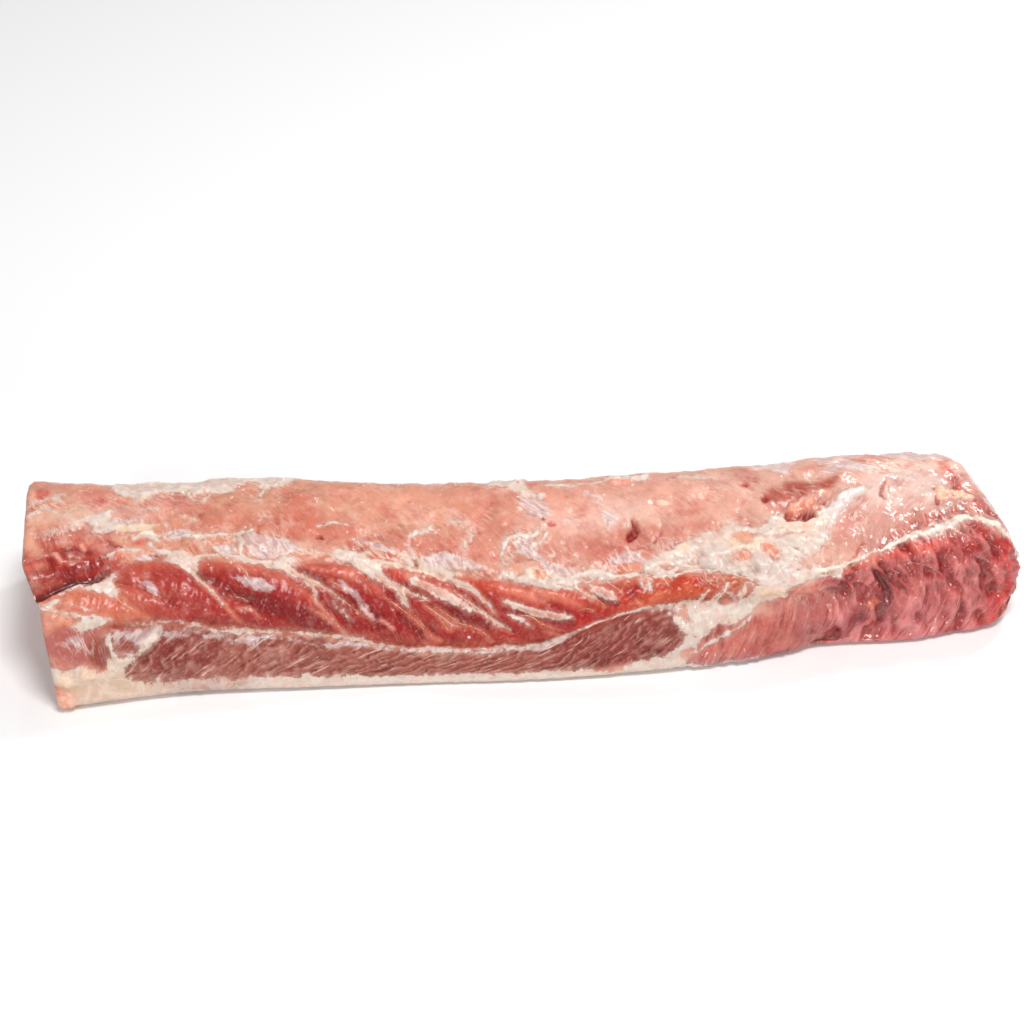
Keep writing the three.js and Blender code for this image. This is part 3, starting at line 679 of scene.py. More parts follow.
# Furrows across the end muscle, as (along, depth, reach). One stands out instead, as a ridge.
FURROWS = [(472, 4.2, 10), (484, -3, 7), (457, 2, 5), (507, 2.5, 4), (531, 2.5, 5)]
furrows = sum(-depth * hump(A, a, reach) for a, depth, reach in FURROWS) * within(V, 0.8, 3.5, 0.45)

# %% Where each muscle lies, from 0 to 1
STRIPS = within(MAP_W, 31, 67, 2) * within(MAP_A, 8, 398, 4)
TOP = smooth(66, 74, MAP_W) * (1 - smooth(150, 170, MAP_W))
lip_height = np.interp(A, [430, 480, 503, 514, 530, 538, 544, 549], [70, 71, 73, 76, 83, 79, 72, 65])
CHUNK = smooth(432, 446, MAP_A + 0.25 * (MAP_W - 30)) * smooth(1.5, -1, MAP_W - lip_height)
BAND = within(MAP_W, 8, 28, 1.5) * within(MAP_A + 0.8 * np.abs(MAP_W - 16), 38, 356, 2)
COARSE = smooth(350, 362, MAP_A - 0.5 * MAP_W) * (1 - smooth(54, 64, MAP_W - 0.4 * (MAP_A - 430)))
COARSE = COARSE * (1 - CHUNK)
COARSE = COARSE * (1 - smooth(19, 24, MAP_W) * (1 - smooth(396, 414, MAP_A)))
ROLL = smooth(0, 6, A - 11 + 0.35 * (MAP_W - 88)) * (1 - smooth(0, 8, MAP_A - 44 - 0.35 * (96 - MAP_W)))
ROLL = ROLL * within(MAP_W, 62, 106, 2.5)
WET = smooth(0, 8, MAP_A - 440 + 0.9 * (MAP_W - 88))
WET = WET * (1 - smooth(114, 120, MAP_W - 0.2 * np.maximum(A - 490, 0)))
WET = np.maximum(WET, smooth(490, 500, MAP_A) * (1 - smooth(124, 132, MAP_W)))
WET = WET * smooth(-1, 1.5, MAP_W - lip_height)
BACK = smooth(160, 172, MAP_W) * (1 - smooth(198, 206, MAP_W))

# %% The fine relief
swell = 2.2 * (1 - np.exp(np.minimum(SEAM, 0) / 4.0)) * STRIPS * smooth(28, 42, MAP_W)
hollows = [
    [(93, 56, 3.0), (100, 52, 1.5), (106, 50, 0.3)],
    [(100, 48, 1), (125, 44, 5), (145, 38, 6), (156, 34, 2)],
    [(144, 64, 3), (156, 58, 2), (163, 54, 1)],
    [(155, 56, 1), (168, 49, 3), (184, 42, 4)],
    [(196, 44, 3), (205, 38, 3)],
    [(212, 51, 1), (226, 48, 4), (243, 43, 3)],
    [(250, 54, 0.6), (268, 51, 1.2), (284, 46, 2.5), (292, 41, 1)],
    [(192, 62, 0.6), (203, 57.5, 1), (214, 54, 0.4)],
    [(304, 62, 1), (309, 53, 1.6), (316, 47, 2)],
    [(322, 58, 0.3), (327, 50, 0.5)],
]
HOLLOW = joined(*[soft(stroke(*points), 2.5) for points in hollows]) * STRIPS
raised_fat = (0.9 - 0.35 * STRIPS) * smooth(-1.0, 2.0, FAT) * (1 - 0.4 * smooth(2, 12, FAT))
raised_fat = raised_fat * (0.4 + 0.6 * smooth(8, 14, W))
raised_skin = 0.4 * smooth(-1.0, 1.5, SILVER)
wrinkled = 0.3 + 0.9 * hump(A, 205, 45) * hump(W, 95, 14) + 0.4 * hump(A, 90, 40) * hump(W, 105, 20)
bundles = 1.2 * cloud(np.stack([(A + 0.25 * W) / 3.4, W / 9, 0 * A], -1), 1, 2, 5) * TOP * wrinkled
lumps = 2.6 * cloud(BASE, 16, 3, 6) * (TOP + 0.4 * STRIPS + ROLL)
strip_grain = 1.0 * cloud(np.stack([(A - 0.5 * W) / 2.6, W / 14, 0 * A], -1), 1, 2, 7) * STRIPS
flap_place = (W - 0.45 * A) / 5.5 + 1.5 * cloud(BASE, (18, 18, 9), 3, 22)
flap_share = flap_place - np.floor(flap_place)
band_grain = 1.7 * (flap_share - 0.5) * smooth(1, 0.8, flap_share) * (0.5 + cloud(BASE, 12, 1, 23)) * BAND
folds = np.stack([A + 0.35 * W + 3 * cloud(BASE, 20, 1, 29), 0.4 * W, 0 * A], -1)
coarse_furrows = cloud(folds, (8, 8, 8), 1, 9) + 0.3 * cloud(folds, (3.4, 4, 4), 1, 30)
coarse_lumps = cloud(BASE, (14, 20, 16), 1, 19)
coarse_ridges = cloud(folds, (4.2, 6, 6), 2, 24)
coarse_grain = 4.6 * (0.16 - np.abs(coarse_furrows)) + 3.2 * coarse_lumps + 2.2 * coarse_ridges
coarse_grain = coarse_grain * (CHUNK + 0.4 * COARSE)
ragged_fat = 1.9 * cloud(BASE, (9, 6, 4), 3, 16) * smooth(-2, 1, COVERED) * smooth(10, 20, W)
ragged_fat = ragged_fat * (1 - 0.6 * smooth(142, 160, W) - 0.4 * STRIPS)
RUGGED_ZONES = np.clip(CHUNK + COARSE + BAND + ROLL + smooth(-1, 1, COVERED), 0, 1)
fine_noise = 0.6 * cloud(BASE, 3.2, 2, 10) * (0.4 + 0.6 * RUGGED_ZONES - 0.6 * CHUNK - 0.9 * BAND)
RELIEF = roll + crease + ribs + groove + waist + marks + furrows + swell + raised_fat + raised_skin
RELIEF = RELIEF + cut_depth + lump_height - 0.8 * HOLLOW + bundles + lumps + strip_grain + band_grain
RELIEF = RELIEF + coarse_grain + ragged_fat + fine_noise
sole_fade = np.where(V < 6, smooth(0.0, 0.35 + 0.8 * CHUNK, V), 1 - smooth(9.5, 10, V))
RELIEF = RELIEF * sole_fade * smooth(0, 0.9, TIP)


def blurred(values, reach):
    """Each value's mean with its neighbours, up to reach grid steps away."""
    for axis in (0, 1):
        values = sum(np.roll(values, k, axis) for k in range(-reach, reach + 1)) / (2 * reach + 1)
    return values


SUNK = blurred(blurred(RELIEF, 3), 3) - RELIEF
OFFSET = RELIEF[..., None] * NORMAL
from_foot = np.minimum(V, RAIL_COUNT - V)
OFFSET[..., 1] += 5 * hump(A, 450, 26) * (1 - smooth(0, 1.6, from_foot)) * (1 - 0.6 * smooth(9, 11, V))
OFFSET[:LEFT_RINGS] = OFFSET[LEFT_RINGS] * TIP[:LEFT_RINGS, :, None]
SKIN = BASE + OFFSET
SKIN[..., 2] = np.maximum(SKIN[..., 2], 0)
low, high = SKIN.min((0, 1)), SKIN.max((0, 1))
SHIFT = np.array([-(low[0] + high[0]) / 2, -(low[1] + high[1]) / 2, -low[2]])
SKIN += SHIFT
print("skin, mm:", (high - low).round(1), "relief from", RELIEF.min().round(1), "to", RELIEF.max().round(1))

# %% [markdown]
# ## Colour of the lean
# The muscles differ: the long eye muscle on top is a pale pink, the strips between the ribs are the darkest
# red, the band below the groove is mauve, and the coarse muscle at the right end is wine red. Each is a
# colour laid over the last with a soft edge, and the skin carries the result as a colour at each point. Some
# tones are painted shade, in the crease, the hollows, the furrows and the floors of cuts, and some are
# painted highlights on ridges. The colours are named as they look under the lamps, and a wet surface adds
# some white of its own, so that is taken off again before the shader gets them.

# %% Laying one colour over another
SHINE = 0.03


def linear(colour):
    """A colour on the usual 0 to 255 scale as the linear light that a shader counts in."""
    c = np.asarray(colour, float) / 255
    return np.where(c <= 0.04045, c / 12.92, ((c + 0.055) / 1.055) ** 2.4)


def under_wet(colour):
    """What a colour has to be below a wet surface to look as named."""
    return np.clip((linear(colour) - SHINE) / (1 - SHINE), 0.002, 1)


def laid_over(under, colour, share):
    return under + np.clip(share, 0, 1)[..., None] * (np.asarray(colour, float) - under)


def toned(under, *tones):
    """Lays several (colour, share) tones over what is there."""
    for colour, share in tones:
        under = laid_over(under, colour, share)
    return under


# %% The long muscle on top
LEAN = np.stack([np.interp(A, [0, 120, 300, 420, 560], channel) for channel in [
    (216, 211, 212, 216, 226), (150, 146, 148, 166, 172), (128, 121, 128, 148, 156)]], -1)
LEAN = toned(
    LEAN,
    ((236, 186, 160), 0.8 * soft(patch((6, 118), (30, 133), (50, 124), (50, 112), (30, 112)), 8)),
    ((238, 176, 150), 0.7 * soft(spot(6, 98, 10, 12), 3)),
    ((206, 126, 114), 0.7 * soft(spot(40, 132, 8, 11), 3)),
    ((200, 92, 78),
     0.7 * soft(joined(spot(44, 131, 1.6, 5), spot(10, 139, 4, 5), spot(52, 140, 4, 2)), 1.5)),
    ((216, 158, 145), 0.7 * soft(spot(64, 113, 14, 9), 4)),
    ((212, 140, 125), 0.6 * soft(spot(86, 122, 14, 14), 6)),
    ((208, 112, 92), 0.6 * soft(spot(157, 118, 8, 20, 10), 4)),
    ((206, 116, 98),
     0.6 * soft(patch((84, 96), (128, 98), (150, 90), (190, 84), (190, 102), (150, 112), (100, 108)), 6)),
    ((232, 164, 138), 0.6 * soft(spot(215, 125, 34, 16), 10)),
    ((205, 126, 110), 0.7 * soft(spot(222, 89, 32, 9), 5)),
    ((234, 192, 178), 0.8 * soft(spot(322, 116, 34, 12), 8)),
    ((212, 132, 112), 0.5 * soft(spot(262, 120, 16, 22), 8)),
    ((204, 124, 108), 0.6 * soft(spot(316, 90, 26, 9, -4), 5)),
    ((230, 164, 142), 0.5 * soft(spot(310, 124, 18, 10), 6)),
    ((230, 166, 146), 0.6 * soft(spot(385, 122, 34, 14, -10), 8)),
    ((206, 122, 106), 0.6 * soft(stroke((330, 100, 5), (360, 98, 5), (385, 104, 4)), 4)),
    ((178, 92, 78), soft(patch((420, 116), (424, 127), (438, 131), (458, 128), (472, 130), (460, 120),
                               (444, 117), (430, 110)), 3)),
    ((190, 92, 74), 0.7 * soft(spot(427, 113, 5, 4), 3)),
    ((232, 150, 122),
     0.9 * soft(patch((436, 109), (437, 116), (448, 117), (456, 112), (450, 106), (442, 105)), 2.5)),
    ((240, 190, 168), 0.8 * soft(spot(455, 111, 8, 6), 4)),
    ((208, 122, 106), 0.6 * soft(spot(457, 140, 8, 4), 3)),
    ((210, 125, 108), 0.6 * soft(spot(498, 143, 12, 6), 3)),
    ((240, 204, 186), 0.8 * soft(spot(514, 134, 26, 9), 5)),
    ((212, 152, 138), WET),
    ((238, 206, 194), 0.9 * soft(spot(503, 112, 32, 17), 6)),
    # Painted light at the far right edge of the top, which would otherwise fall darker.
    ((240, 190, 172), 0.6 * soft(spot(546, 112, 10, 24), 4)),
    ((192, 130, 112), 0.4 * soft(spot(455, 82, 12, 6), 3)),
    ((238, 204, 190), 0.7 * soft(stroke((500, 82, 3), (520, 88, 4), (545, 90, 6)), 4)),
    ((238, 208, 196), 0.7 * soft(stroke((446, 92, 2), (462, 104, 3), (482, 113, 4)), 4)),
    ((206, 128, 116), 0.6 * WET * soft(stroke((424, 76, 3), (440, 80, 3), (460, 96, 2), (478, 108, 1)), 4)),
    ((230, 112, 96), 0.9 * soft(stroke((532, 88, 1.5), (533, 106, 2.5), (534, 128, 3), (532, 138, 1)), 3)),
    ((206, 124, 108), 0.8 * BACK),
    ((220, 180, 172), 0.7 * BACK * smooth(-0.1, 0.5, cloud(BASE * (0.45, 1, 1), 26, 4, 26))),
    ((222, 158, 142), 0.6 * BACK * smooth(-0.2, 0.5, cloud(BASE * (0.4, 1, 1), 22, 2, 31))),
    ((186, 92, 78), 0.5 * BACK * smooth(0.1, 0.7, cloud(BASE * (0.4, 1, 1), 18, 2, 32))),
)

# %% The strips, the band and the coarse muscle
STRIP_STATIONS = [0, 40, 70, 110, 200, 300, 335, 360, 380, 395]
STRIP_TONES = [
    (214, 202, 172, 158, 154, 176, 190, 188, 178, 188),  # red at each station
    (136, 112, 66, 50, 48, 54, 68, 62, 76, 112),  # green
    (110, 90, 60, 48, 46, 44, 46, 36, 52, 86),  # blue
]
strip_red = np.stack([np.interp(A, STRIP_STATIONS, channel) for channel in STRIP_TONES], -1)
streaks = smooth(0, 0.5, cloud(BASE * (0.5, 1, 1), 5, 2, 33))
LEAN = toned(
    LEAN,
    (strip_red, STRIPS),
    ((206, 112, 88), 0.7 * STRIPS * smooth(56, 68, MAP_W)),
    ((202, 124, 92), 0.75 * STRIPS * (1 - smooth(30, 36, MAP_W)) * within(A, 125, 320, 15)),
    ((180, 100, 94), 0.9 * soft(spot(16, 27, 16, 9), 3)),
    ((206, 116, 94), 0.8 * STRIPS * soft(spot(28, 48, 14, 9), 4)),
    ((190, 106, 80), 0.8 * STRIPS * soft(spot(45, 33, 12, 5), 3)),
    ((204, 112, 92), 0.8 * STRIPS * soft(stroke((120, 64, 4), (136, 60, 4), (148, 50, 2)), 4)),
    ((208, 118, 98), 0.8 * STRIPS * soft(stroke((163, 66, 3), (176, 62, 4), (186, 56, 2)), 3)),
    ((220, 138, 112), 0.9 * STRIPS * soft(stroke((202, 64, 1.5), (214, 60, 2.5), (226, 58, 1)), 2.5)),
    ((218, 124, 102),
     0.9 * STRIPS * soft(stroke((254, 66, 2), (268, 63, 5), (284, 63, 4), (296, 54, 2)), 3.5)),
    ((190, 66, 50), 0.8 * STRIPS * soft(spot(242, 66, 9, 3, -8), 2)),
    ((188, 60, 52), 0.6 * STRIPS * soft(spot(196, 64, 9, 3, -12), 2)),
    ((196, 92, 66), 0.7 * soft(spot(348, 38, 26, 7, -4), 4)),
    ((200, 90, 68), 0.6 * soft(spot(342, 52, 6, 9), 4)),
    ((182, 100, 74), 0.8 * soft(stroke((386, 62, 4), (388, 46, 5), (392, 34, 2)), 4)),
    ((190, 76, 62), 0.6 * soft(spot(160, 66, 8, 3), 2)),
    ((166, 62, 52), 0.7 * soft(spot(178, 58, 5, 4), 2)),
    ((188, 62, 48), 0.6 * soft(spot(255, 55, 6, 5), 2)),
    ((226, 132, 96), 0.35 * STRIPS * smooth(322, 342, A) * streaks),
    ((194, 112, 84), 0.6 * STRIPS * smooth(362, 386, A)),
    # Painted shade in the hollows under the tongues and seams of the strips.
    ((130, 40, 38), 0.85 * HOLLOW),
    ((238, 178, 142), 0.5 * STRIPS * smooth(-2.2, 0, SEAM)),
    ((160, 92, 80), BAND),
    ((134, 54, 48), BAND * 0.8 * soft(spot(74, 18, 20, 10, 20), 5)),
    ((144, 70, 64), BAND * smooth(270, 296, MAP_A - 0.8 * (20 - MAP_W))),
    ((186, 128, 118), 0.5 * BAND * within(MAP_A, 205, 285, 10) * (1 - smooth(9, 15, MAP_W))),
    # Painted highlight on the raised edge of each flap, and painted shade in the gap below it.
    ((212, 164, 150), 0.5 * BAND * hump(flap_share, 0.76, 0.13)),
    ((112, 50, 44), 0.5 * BAND * np.maximum(hump(flap_share, 1.0, 0.1), hump(flap_share, 0, 0.1))),
    ((202, 114, 102), COARSE),
    ((156, 82, 86), 0.8 * COARSE * soft(stroke((424, 14, 4), (450, 13, 6), (470, 14, 6)), 4)),
    ((182, 92, 90), 0.6 * COARSE * soft(spot(432, 19, 14, 10), 4)),
    ((216, 124, 104), 0.8 * COARSE * soft(stroke((416, 34, 3), (424, 50, 6), (436, 62, 3)), 5)),
    ((176, 116, 118), 0.7 * COARSE * (1 - smooth(4, 9, MAP_W)) * smooth(356, 366, MAP_A)),
)

# %% The end muscle, the roll, and painted shade and highlights of the relief
LEAN = toned(
    LEAN,
    ((190, 92, 90), CHUNK),
    ((222, 94, 82), CHUNK * 0.7 * soft(stroke((444, 66, 2), (470, 66, 3), (492, 66, 4), (510, 66, 3)), 4)),
    ((212, 120, 98), CHUNK * 0.8 * soft(stroke((444, 68, 2), (468, 68, 2)), 3)),
    ((220, 134, 134), CHUNK * 0.85 * (1 - smooth(10, 30, MAP_W))),
    # Painted highlight along the ridge at 484 mm.
    ((208, 114, 106), CHUNK * 0.2 * soft(stroke((484, 20, 4), (486, 52, 5)), 4)),
    # Painted shade in the furrow at 472 mm.
    ((112, 20, 24), CHUNK * 0.8 * soft(stroke((470, 16, 3), (471, 32, 4.5), (472, 50, 3)), 4)),
    ((150, 62, 64), CHUNK * 0.8 * soft(stroke((452, 12, 6), (464, 32, 4), (468, 44, 2)), 5)),
    # Painted shade in a pit and a slit of the end muscle.
    ((150, 48, 48), CHUNK * 0.8 * soft(spot(523, 61, 6, 4), 3)),
    ((148, 58, 60), CHUNK * 0.7 * soft(stroke((529, 22, 2), (530, 44, 2)), 3)),
    ((204, 50, 48), CHUNK * 0.8 * smooth(530, 545, MAP_A)),
    ((196, 98, 84), ROLL),
    # Painted shade on the lower side of the roll, towards the crease.
    ((150, 34, 30), ROLL * soft(stroke((8, 75, 4), (26, 75, 6), (42, 74, 4)), 5)),
    ((158, 42, 36), ROLL * 0.9 * soft(spot(26, 85, 13, 7), 5)),
    ((220, 118, 102), 0.8 * soft(spot(3, 86, 8, 8), 3)),
    ((222, 150, 130), 0.6 * soft(spot(35, 98, 12, 5), 3)),
    ((216, 132, 114), ROLL * 0.8 * soft(stroke((36, 98, 4), (46, 86, 4), (52, 78, 2)), 4)),
    ((170, 52, 44), 0.7 * soft(spot(11, 86, 7, 3), 3)),
    ((200, 90, 76), 0.8 * soft(spot(66, 84.5, 4, 3), 2)),
    ((150, 50, 44), 0.8 * soft(spot(74, 72, 3.4, 2.4), 1.5)),
    ((206, 96, 70), 0.6 * soft(spot(194, 76, 9, 3.4, 4), 2)),
    ((224, 136, 104), 0.8 * soft(joined(spot(276.5, 77, 3.4, 3), spot(325, 75.5, 8, 3.6, 12),
                                        spot(399, 95.5, 7, 3, 8)), 1.5)),
    ((216, 120, 92), 0.9 * soft(joined(spot(408, 86, 4.6, 5), spot(391, 82, 6, 3.4, 25)), 2)),
    ((150, 74, 64), 0.9 * soft(joined(spot(29, 21.5, 5.4, 5, -25), spot(45.5, 23, 6.5, 2.6, -22)), 1.5)),
    # Painted shade: the crease under the roll is painted a near-black red.
    ((122, 14, 12), hump(CREASE, 0.2, 1.8) * (1 - smooth(36, 54, A))),
    # Painted shade below the roll at the left end.
    ((146, 44, 38), 0.85 * soft(stroke((-4, 73, 5), (6, 74, 6), (14, 75, 6)), 3) * smooth(65.5, 68, MAP_W)),
    # Painted shade on the floors of the cuts.
    ((190, 60, 50), 0.6 * CUT),
    ((200, 24, 20), 0.8 * soft(joined(spot(34, 63.7, 2, 0.9), spot(210.3, 72.8, 1, 2.2, 20),
                                      spot(538.5, 61.5, 1.6, 1.6)), 0.8)),
)
LEAN = toned(LEAN, *[(colour, soft(shape, 0.8)) for height, shape, colour in LUMPS])
# Painted shade and painted highlights: the lean is darkened where the relief sinks and in the furrows of the
# coarse muscle, and lightened where the relief stands up.
bulk = coarse_grain - blurred(blurred(coarse_grain, 9), 9)
painted_shade = smooth(0.1, 1.4, SUNK) * (1 - 0.5 * CHUNK) + 0.9 * smooth(0.2, 2.2, -bulk)
LEAN = LEAN * (1 - np.clip(painted_shade, 0, 1)[..., None] * (0.2, 0.42, 0.42))
LEAN = LEAN + (smooth(0.1, 1.2, -SUNK) * smooth(4, 12, W))[..., None] * (16, 20, 18)
LEAN = LEAN + smooth(0.2, 2.2, bulk)[..., None] * (14, 16, 15)
LEAN = LEAN * (1 + 0.08 * cloud(BASE, 11, 3, 12))[..., None]
LEAN = np.clip(LEAN, 0, 255)

LEAN = toned(LEAN, *[(colour, FACE * soft(shape, 2)) for colour, shape in [
    ((196, 108, 98), FACE * 9 - 4),
    ((206, 122, 108), EYE),
    ((224, 150, 134), EYE - 14),
    ((184, 80, 72), FACE_ROLL),
    ((190, 86, 76), FACE_STRIP),
    ((156, 86, 80), FACE_BAND)]])
LEAN = toned(LEAN, ((204, 122, 108), RIGHT_FACE * soft(RIGHT_EYE, 2)),
             ((222, 150, 134), RIGHT_FACE * soft(RIGHT_EYE - 30, 14)),
             ((196, 76, 72), RIGHT_FACE * soft(-RIGHT_EYE, 2)))

# %% The fat's colours
FAT_COLOUR = toned(
    np.ones(A.shape + (3,)) * (214, 195, 182),
    ((212, 192, 179), np.where(IN_FRONT, 1 - smooth(6, 14, MAP_W), 0) * smooth(40, 60, A)),
    ((170, 134, 122), 0.9 * soft(spot(86, 6, 20, 9), 6)),
    ((214, 186, 162), soft(spot(28, 8, 24, 9), 5)),
    ((230, 150, 116), soft(spot(3, 3, 8, 8), 2)),
    ((226, 190, 156), soft(joined(spot(8, 13, 4, 3), spot(20, 14, 4, 3)), 1.5)),
    ((226, 192, 158),
     0.9 * soft(patch((394, 32), (412, 36), (413, 52), (408, 60), (398, 58), (394, 44)), 4)),
    ((228, 214, 210), 0.8 * soft(spot(406, 70, 12, 10), 5)),
    ((244, 210, 170), 0.9 * soft(spot(362, 86, 3.5, 3), 1.5)),
    ((196, 178, 168), 0.6 * soft(spot(388, 76, 30, 12), 5)),
    ((206, 128, 106), 0.8 * soft(spot(217, 60, 8, 5), 2)),
    ((240, 206, 170),
     0.6 * soft(joined(spot(146, 77, 6, 2.5, 20), spot(276, 78, 8, 4), spot(212, 68, 18, 1.5, -5)), 2)),
    ((238, 200, 164), 0.8 * soft(patch((52, 92), (70, 93), (78, 88), (80, 98), (72, 102), (56, 101)), 3)),
    ((232, 180, 144), 0.8 * soft(patch((94, 70), (104, 74), (108, 88), (100, 86), (84, 84), (84, 78)), 4)),
    ((240, 160, 110), 0.9 * soft(spot(68, 127, 3, 1.8), 1.5)),
    ((242, 204, 168), 0.7 * soft(spot(396, 90, 10, 5), 4)),
    ((234, 222, 220), 0.8 * soft(stroke((440, 96, 3), (460, 108, 4), (478, 115, 3)), 4)),
    ((190, 108, 90), 0.85 * soft(TONGUES - 1.3, 0.7)),
    ((240, 198, 170), 0.7 * soft(spot(436, 101, 14, 8), 4)),
    # The cream seam on the end muscle's top edge is its own cream, painted brighter as a highlight on its
    # rounded edge.
    ((250, 234, 216), 0.9 * soft(stroke((430, 71, 2), (480, 73, 3), (503, 75, 4), (522, 82, 4),
                                        (534, 84, 4), (549, 67, 3)), 2)),
)
FAT_COLOUR = laid_over(FAT_COLOUR, (226, 188, 158), 0.45 * smooth(0.1, 0.8, cloud(BASE, 10, 2, 14)))
FAT_COLOUR = laid_over(FAT_COLOUR, (232, 196, 190), 0.45 * smooth(0.1, 0.8, cloud(BASE, 7, 2, 15)))
FAT_COLOUR = laid_over(FAT_COLOUR, (214, 140, 122),
                       0.5 * smooth(0.15, 0.9, cloud(BASE, 5, 2, 28)) * smooth(20, 40, W))
# Painted shade in the fat's hollows and a painted highlight on its raised places.
FAT_COLOUR = FAT_COLOUR * (1 - smooth(0.2, 1.2, SUNK)[..., None] * (0.12, 0.24, 0.28))
FAT_COLOUR = np.clip(FAT_COLOUR + smooth(0.1, 1.0, -SUNK)[..., None] * (20, 24, 24), 0, 255)

# %% How streaky, rugged, mottled, webbed and wet each place is
def raised_at(field, a_map, w_map, places):
    """The field, raised to humps that are (along, round, reach along, reach round, amount)."""
    for a, w, reach_a, reach_w, amount in places:
        field = np.maximum(field, amount * hump(a_map, a, reach_a) * hump(w_map, w, reach_w))
    return field


STREAKY = 0.22 * TOP + 0.2 * STRIPS + 0.9 * BAND + 0.45 * COARSE + 0.3 * CHUNK + 0.3 * ROLL + 0.25 * BACK
RUGGED = 0.3 * TOP + 0.3 * STRIPS + 0.6 * BAND + 0.9 * COARSE + 1.0 * CHUNK + 0.6 * ROLL + 0.5 * BACK
MOTTLED = 0.35 * TOP + 0.12 * STRIPS + 0.12 * CHUNK + 0.2 * (BAND + COARSE + ROLL)
near_fat = hump(np.minimum(COVERED, 0), 0, 3.5)
WEB = raised_at(0.5 * near_fat * smooth(62, 72, W), MAP_A, MAP_W, [
    (180, 98, 50, 14, 0.4), (250, 116, 40, 14, 0.3), (60, 122, 30, 10, 0.35), (400, 128, 40, 10, 0.35),
    (112, 84, 14, 12, 0.9), (60, 96, 18, 9, 0.6), (215, 76, 36, 6, 0.8), (300, 76, 40, 6, 0.8),
    (100, 132, 60, 8, 0.5), (490, 132, 60, 14, 0.9), (470, 96, 40, 14, 0.6), (365, 58, 30, 12, 0.3),
    (280, 92, 18, 14, 0.6), (400, 84, 50, 18, 0.8), (22, 124, 22, 12, 0.5), (16, 28, 16, 7, 0.9),
    (180, 78, 16, 6, 0.6), (420, 40, 14, 14, 0.5), (90, 92, 14, 6, 0.5),
])
GLOSS = 0.4 + 0.6 * WET + 0.5 * CHUNK + 0.3 * COARSE + 0.25 * ROLL + 0.3 * soft(spot(520, 125, 30, 20), 8)
LOOK = np.stack([STREAKY, RUGGED, WEB], -1)

# %% [markdown]
# ## The way the fibres run
#
# A muscle's fibres show as fine streaks along it. The material draws them with noise that is stretched along
# the fibres, so each place needs a position across and along them. On top they run steeply down to the
# seam and lean over towards the crest; elsewhere each muscle has its own slant. Where two muscles meet, the
# positions jump. So each face keeps the positions of its own muscle at its four corners, and no face is torn
# between two.

# %% Grain positions at the corners of the faces, in mm
FIBRE_STRETCH = 0.14
GRAIN_SHIFT = 9.0


def grain_of(muscle, a, w, place):
    """Positions across and along the fibres, for the muscle with that number at each place."""
    ways = [
        (a + 0.25 * w + 0.012 * np.maximum(w - 100, 0) ** 2, w),  # 0: the long muscle
        (a + 0.5 * w, w),  # 1: the strips
        (w - 0.5 * a, a),  # 2: the band
        (w - 0.9 * a, a),  # 3: the wet lean at the right
        (a - 0.2 * w, w),  # 4: the end muscle and the coarse lean before it
        (place[..., 1], place[..., 2] / FIBRE_STRETCH),  # 5: the end faces, cut across their fibres
        (w, a),  # 6: the fat of the foot and the underside
    ]
    return np.stack([np.choose(muscle, [way[k] for way in ways]) for k in (0, 1)] + [muscle * GRAIN_SHIFT],
                    -1)


MUSCLE = np.zeros(A.shape, int)
for number, share in [(1, STRIPS), (2, BAND), (3, WET), (4, np.maximum(CHUNK, COARSE))]:
    MUSCLE[share > 0.5] = number
MUSCLE[np.where(IN_FRONT, band_top - W, W - 203) > 0] = 6
MUSCLE[TIP < 0.93] = 5


# %% [markdown]
# ## The skin as a mesh
#
# The rings are joined by quads, and each end is closed by a point. The fields above become attributes: named
# numbers that the mesh carries at each point and that its material can read.

# %% From arrays to a mesh
def with_tips(values):
    """The grid's values as rows, with the two points that close the ends."""
    flat = values.reshape(U.size, -1)
    tips = [values[row].reshape(U.shape[1], -1).mean(0) for row in (0, -1)]
    return np.vstack([flat, *tips])


index = np.arange(U.size).reshape(U.shape)
ahead = np.roll(index, -1, 1)
quads = np.stack([index[:-1], index[1:], ahead[1:], ahead[:-1]], -1).reshape(-1, 4)
fans = [np.stack([index[0], ahead[0], np.full(U.shape[1], U.size)], -1),
        np.stack([ahead[-1], index[-1], np.full(U.shape[1], U.size + 1)], -1)]
skin = bpy.data.meshes.new("loin_skin")
skin.from_pydata(with_tips(SKIN * MM).tolist(), [], quads.tolist() + fans[0].tolist() + fans[1].tolist())
skin.shade_smooth()
loin = bpy.data.objects.new("loin_skin", skin)
bpy.context.scene.collection.objects.link(loin)


# %% What the mesh carries
def carry(mesh, name, kind, values, domain="POINT"):
    """Stores rows of values on the mesh as a named attribute."""
    if kind == "FLOAT_COLOR":
        values = np.hstack([values, np.ones((len(values), 1))])
    key = {"FLOAT": "value", "FLOAT_VECTOR": "vector", "FLOAT_COLOR": "color"}[kind]
    mesh.attributes.new(name, kind, domain).data.foreach_set(key, values.astype(np.float32).ravel())


places = with_tips(np.stack([A, W], -1))
points_mm = with_tips(BASE)
grain_rows = []
for faces in (quads, *fans):
    muscle = np.repeat(MUSCLE.ravel()[faces[:, :1] % U.size], faces.shape[1], 1)
    a, w = places[faces, 0], places[faces, 1]
    w = np.where(w < w.max(1, keepdims=True) - 100, w + SPAN_MM[-1], w)
    grain_rows.append(grain_of(muscle, a, w, points_mm[faces]).reshape(-1, 3))
carry(skin, "grain", "FLOAT_VECTOR", np.vstack(grain_rows), "CORNER")
carry(skin, "lean", "FLOAT_COLOR", under_wet(with_tips(LEAN)))
carry(skin, "fat_colour", "FLOAT_COLOR", under_wet(with_tips(FAT_COLOUR)))
carry(skin, "fat", "FLOAT", with_tips(FAT))
carry(skin, "silver", "FLOAT", with_tips(SILVER))
carry(skin, "look", "FLOAT_VECTOR", with_tips(LOOK))
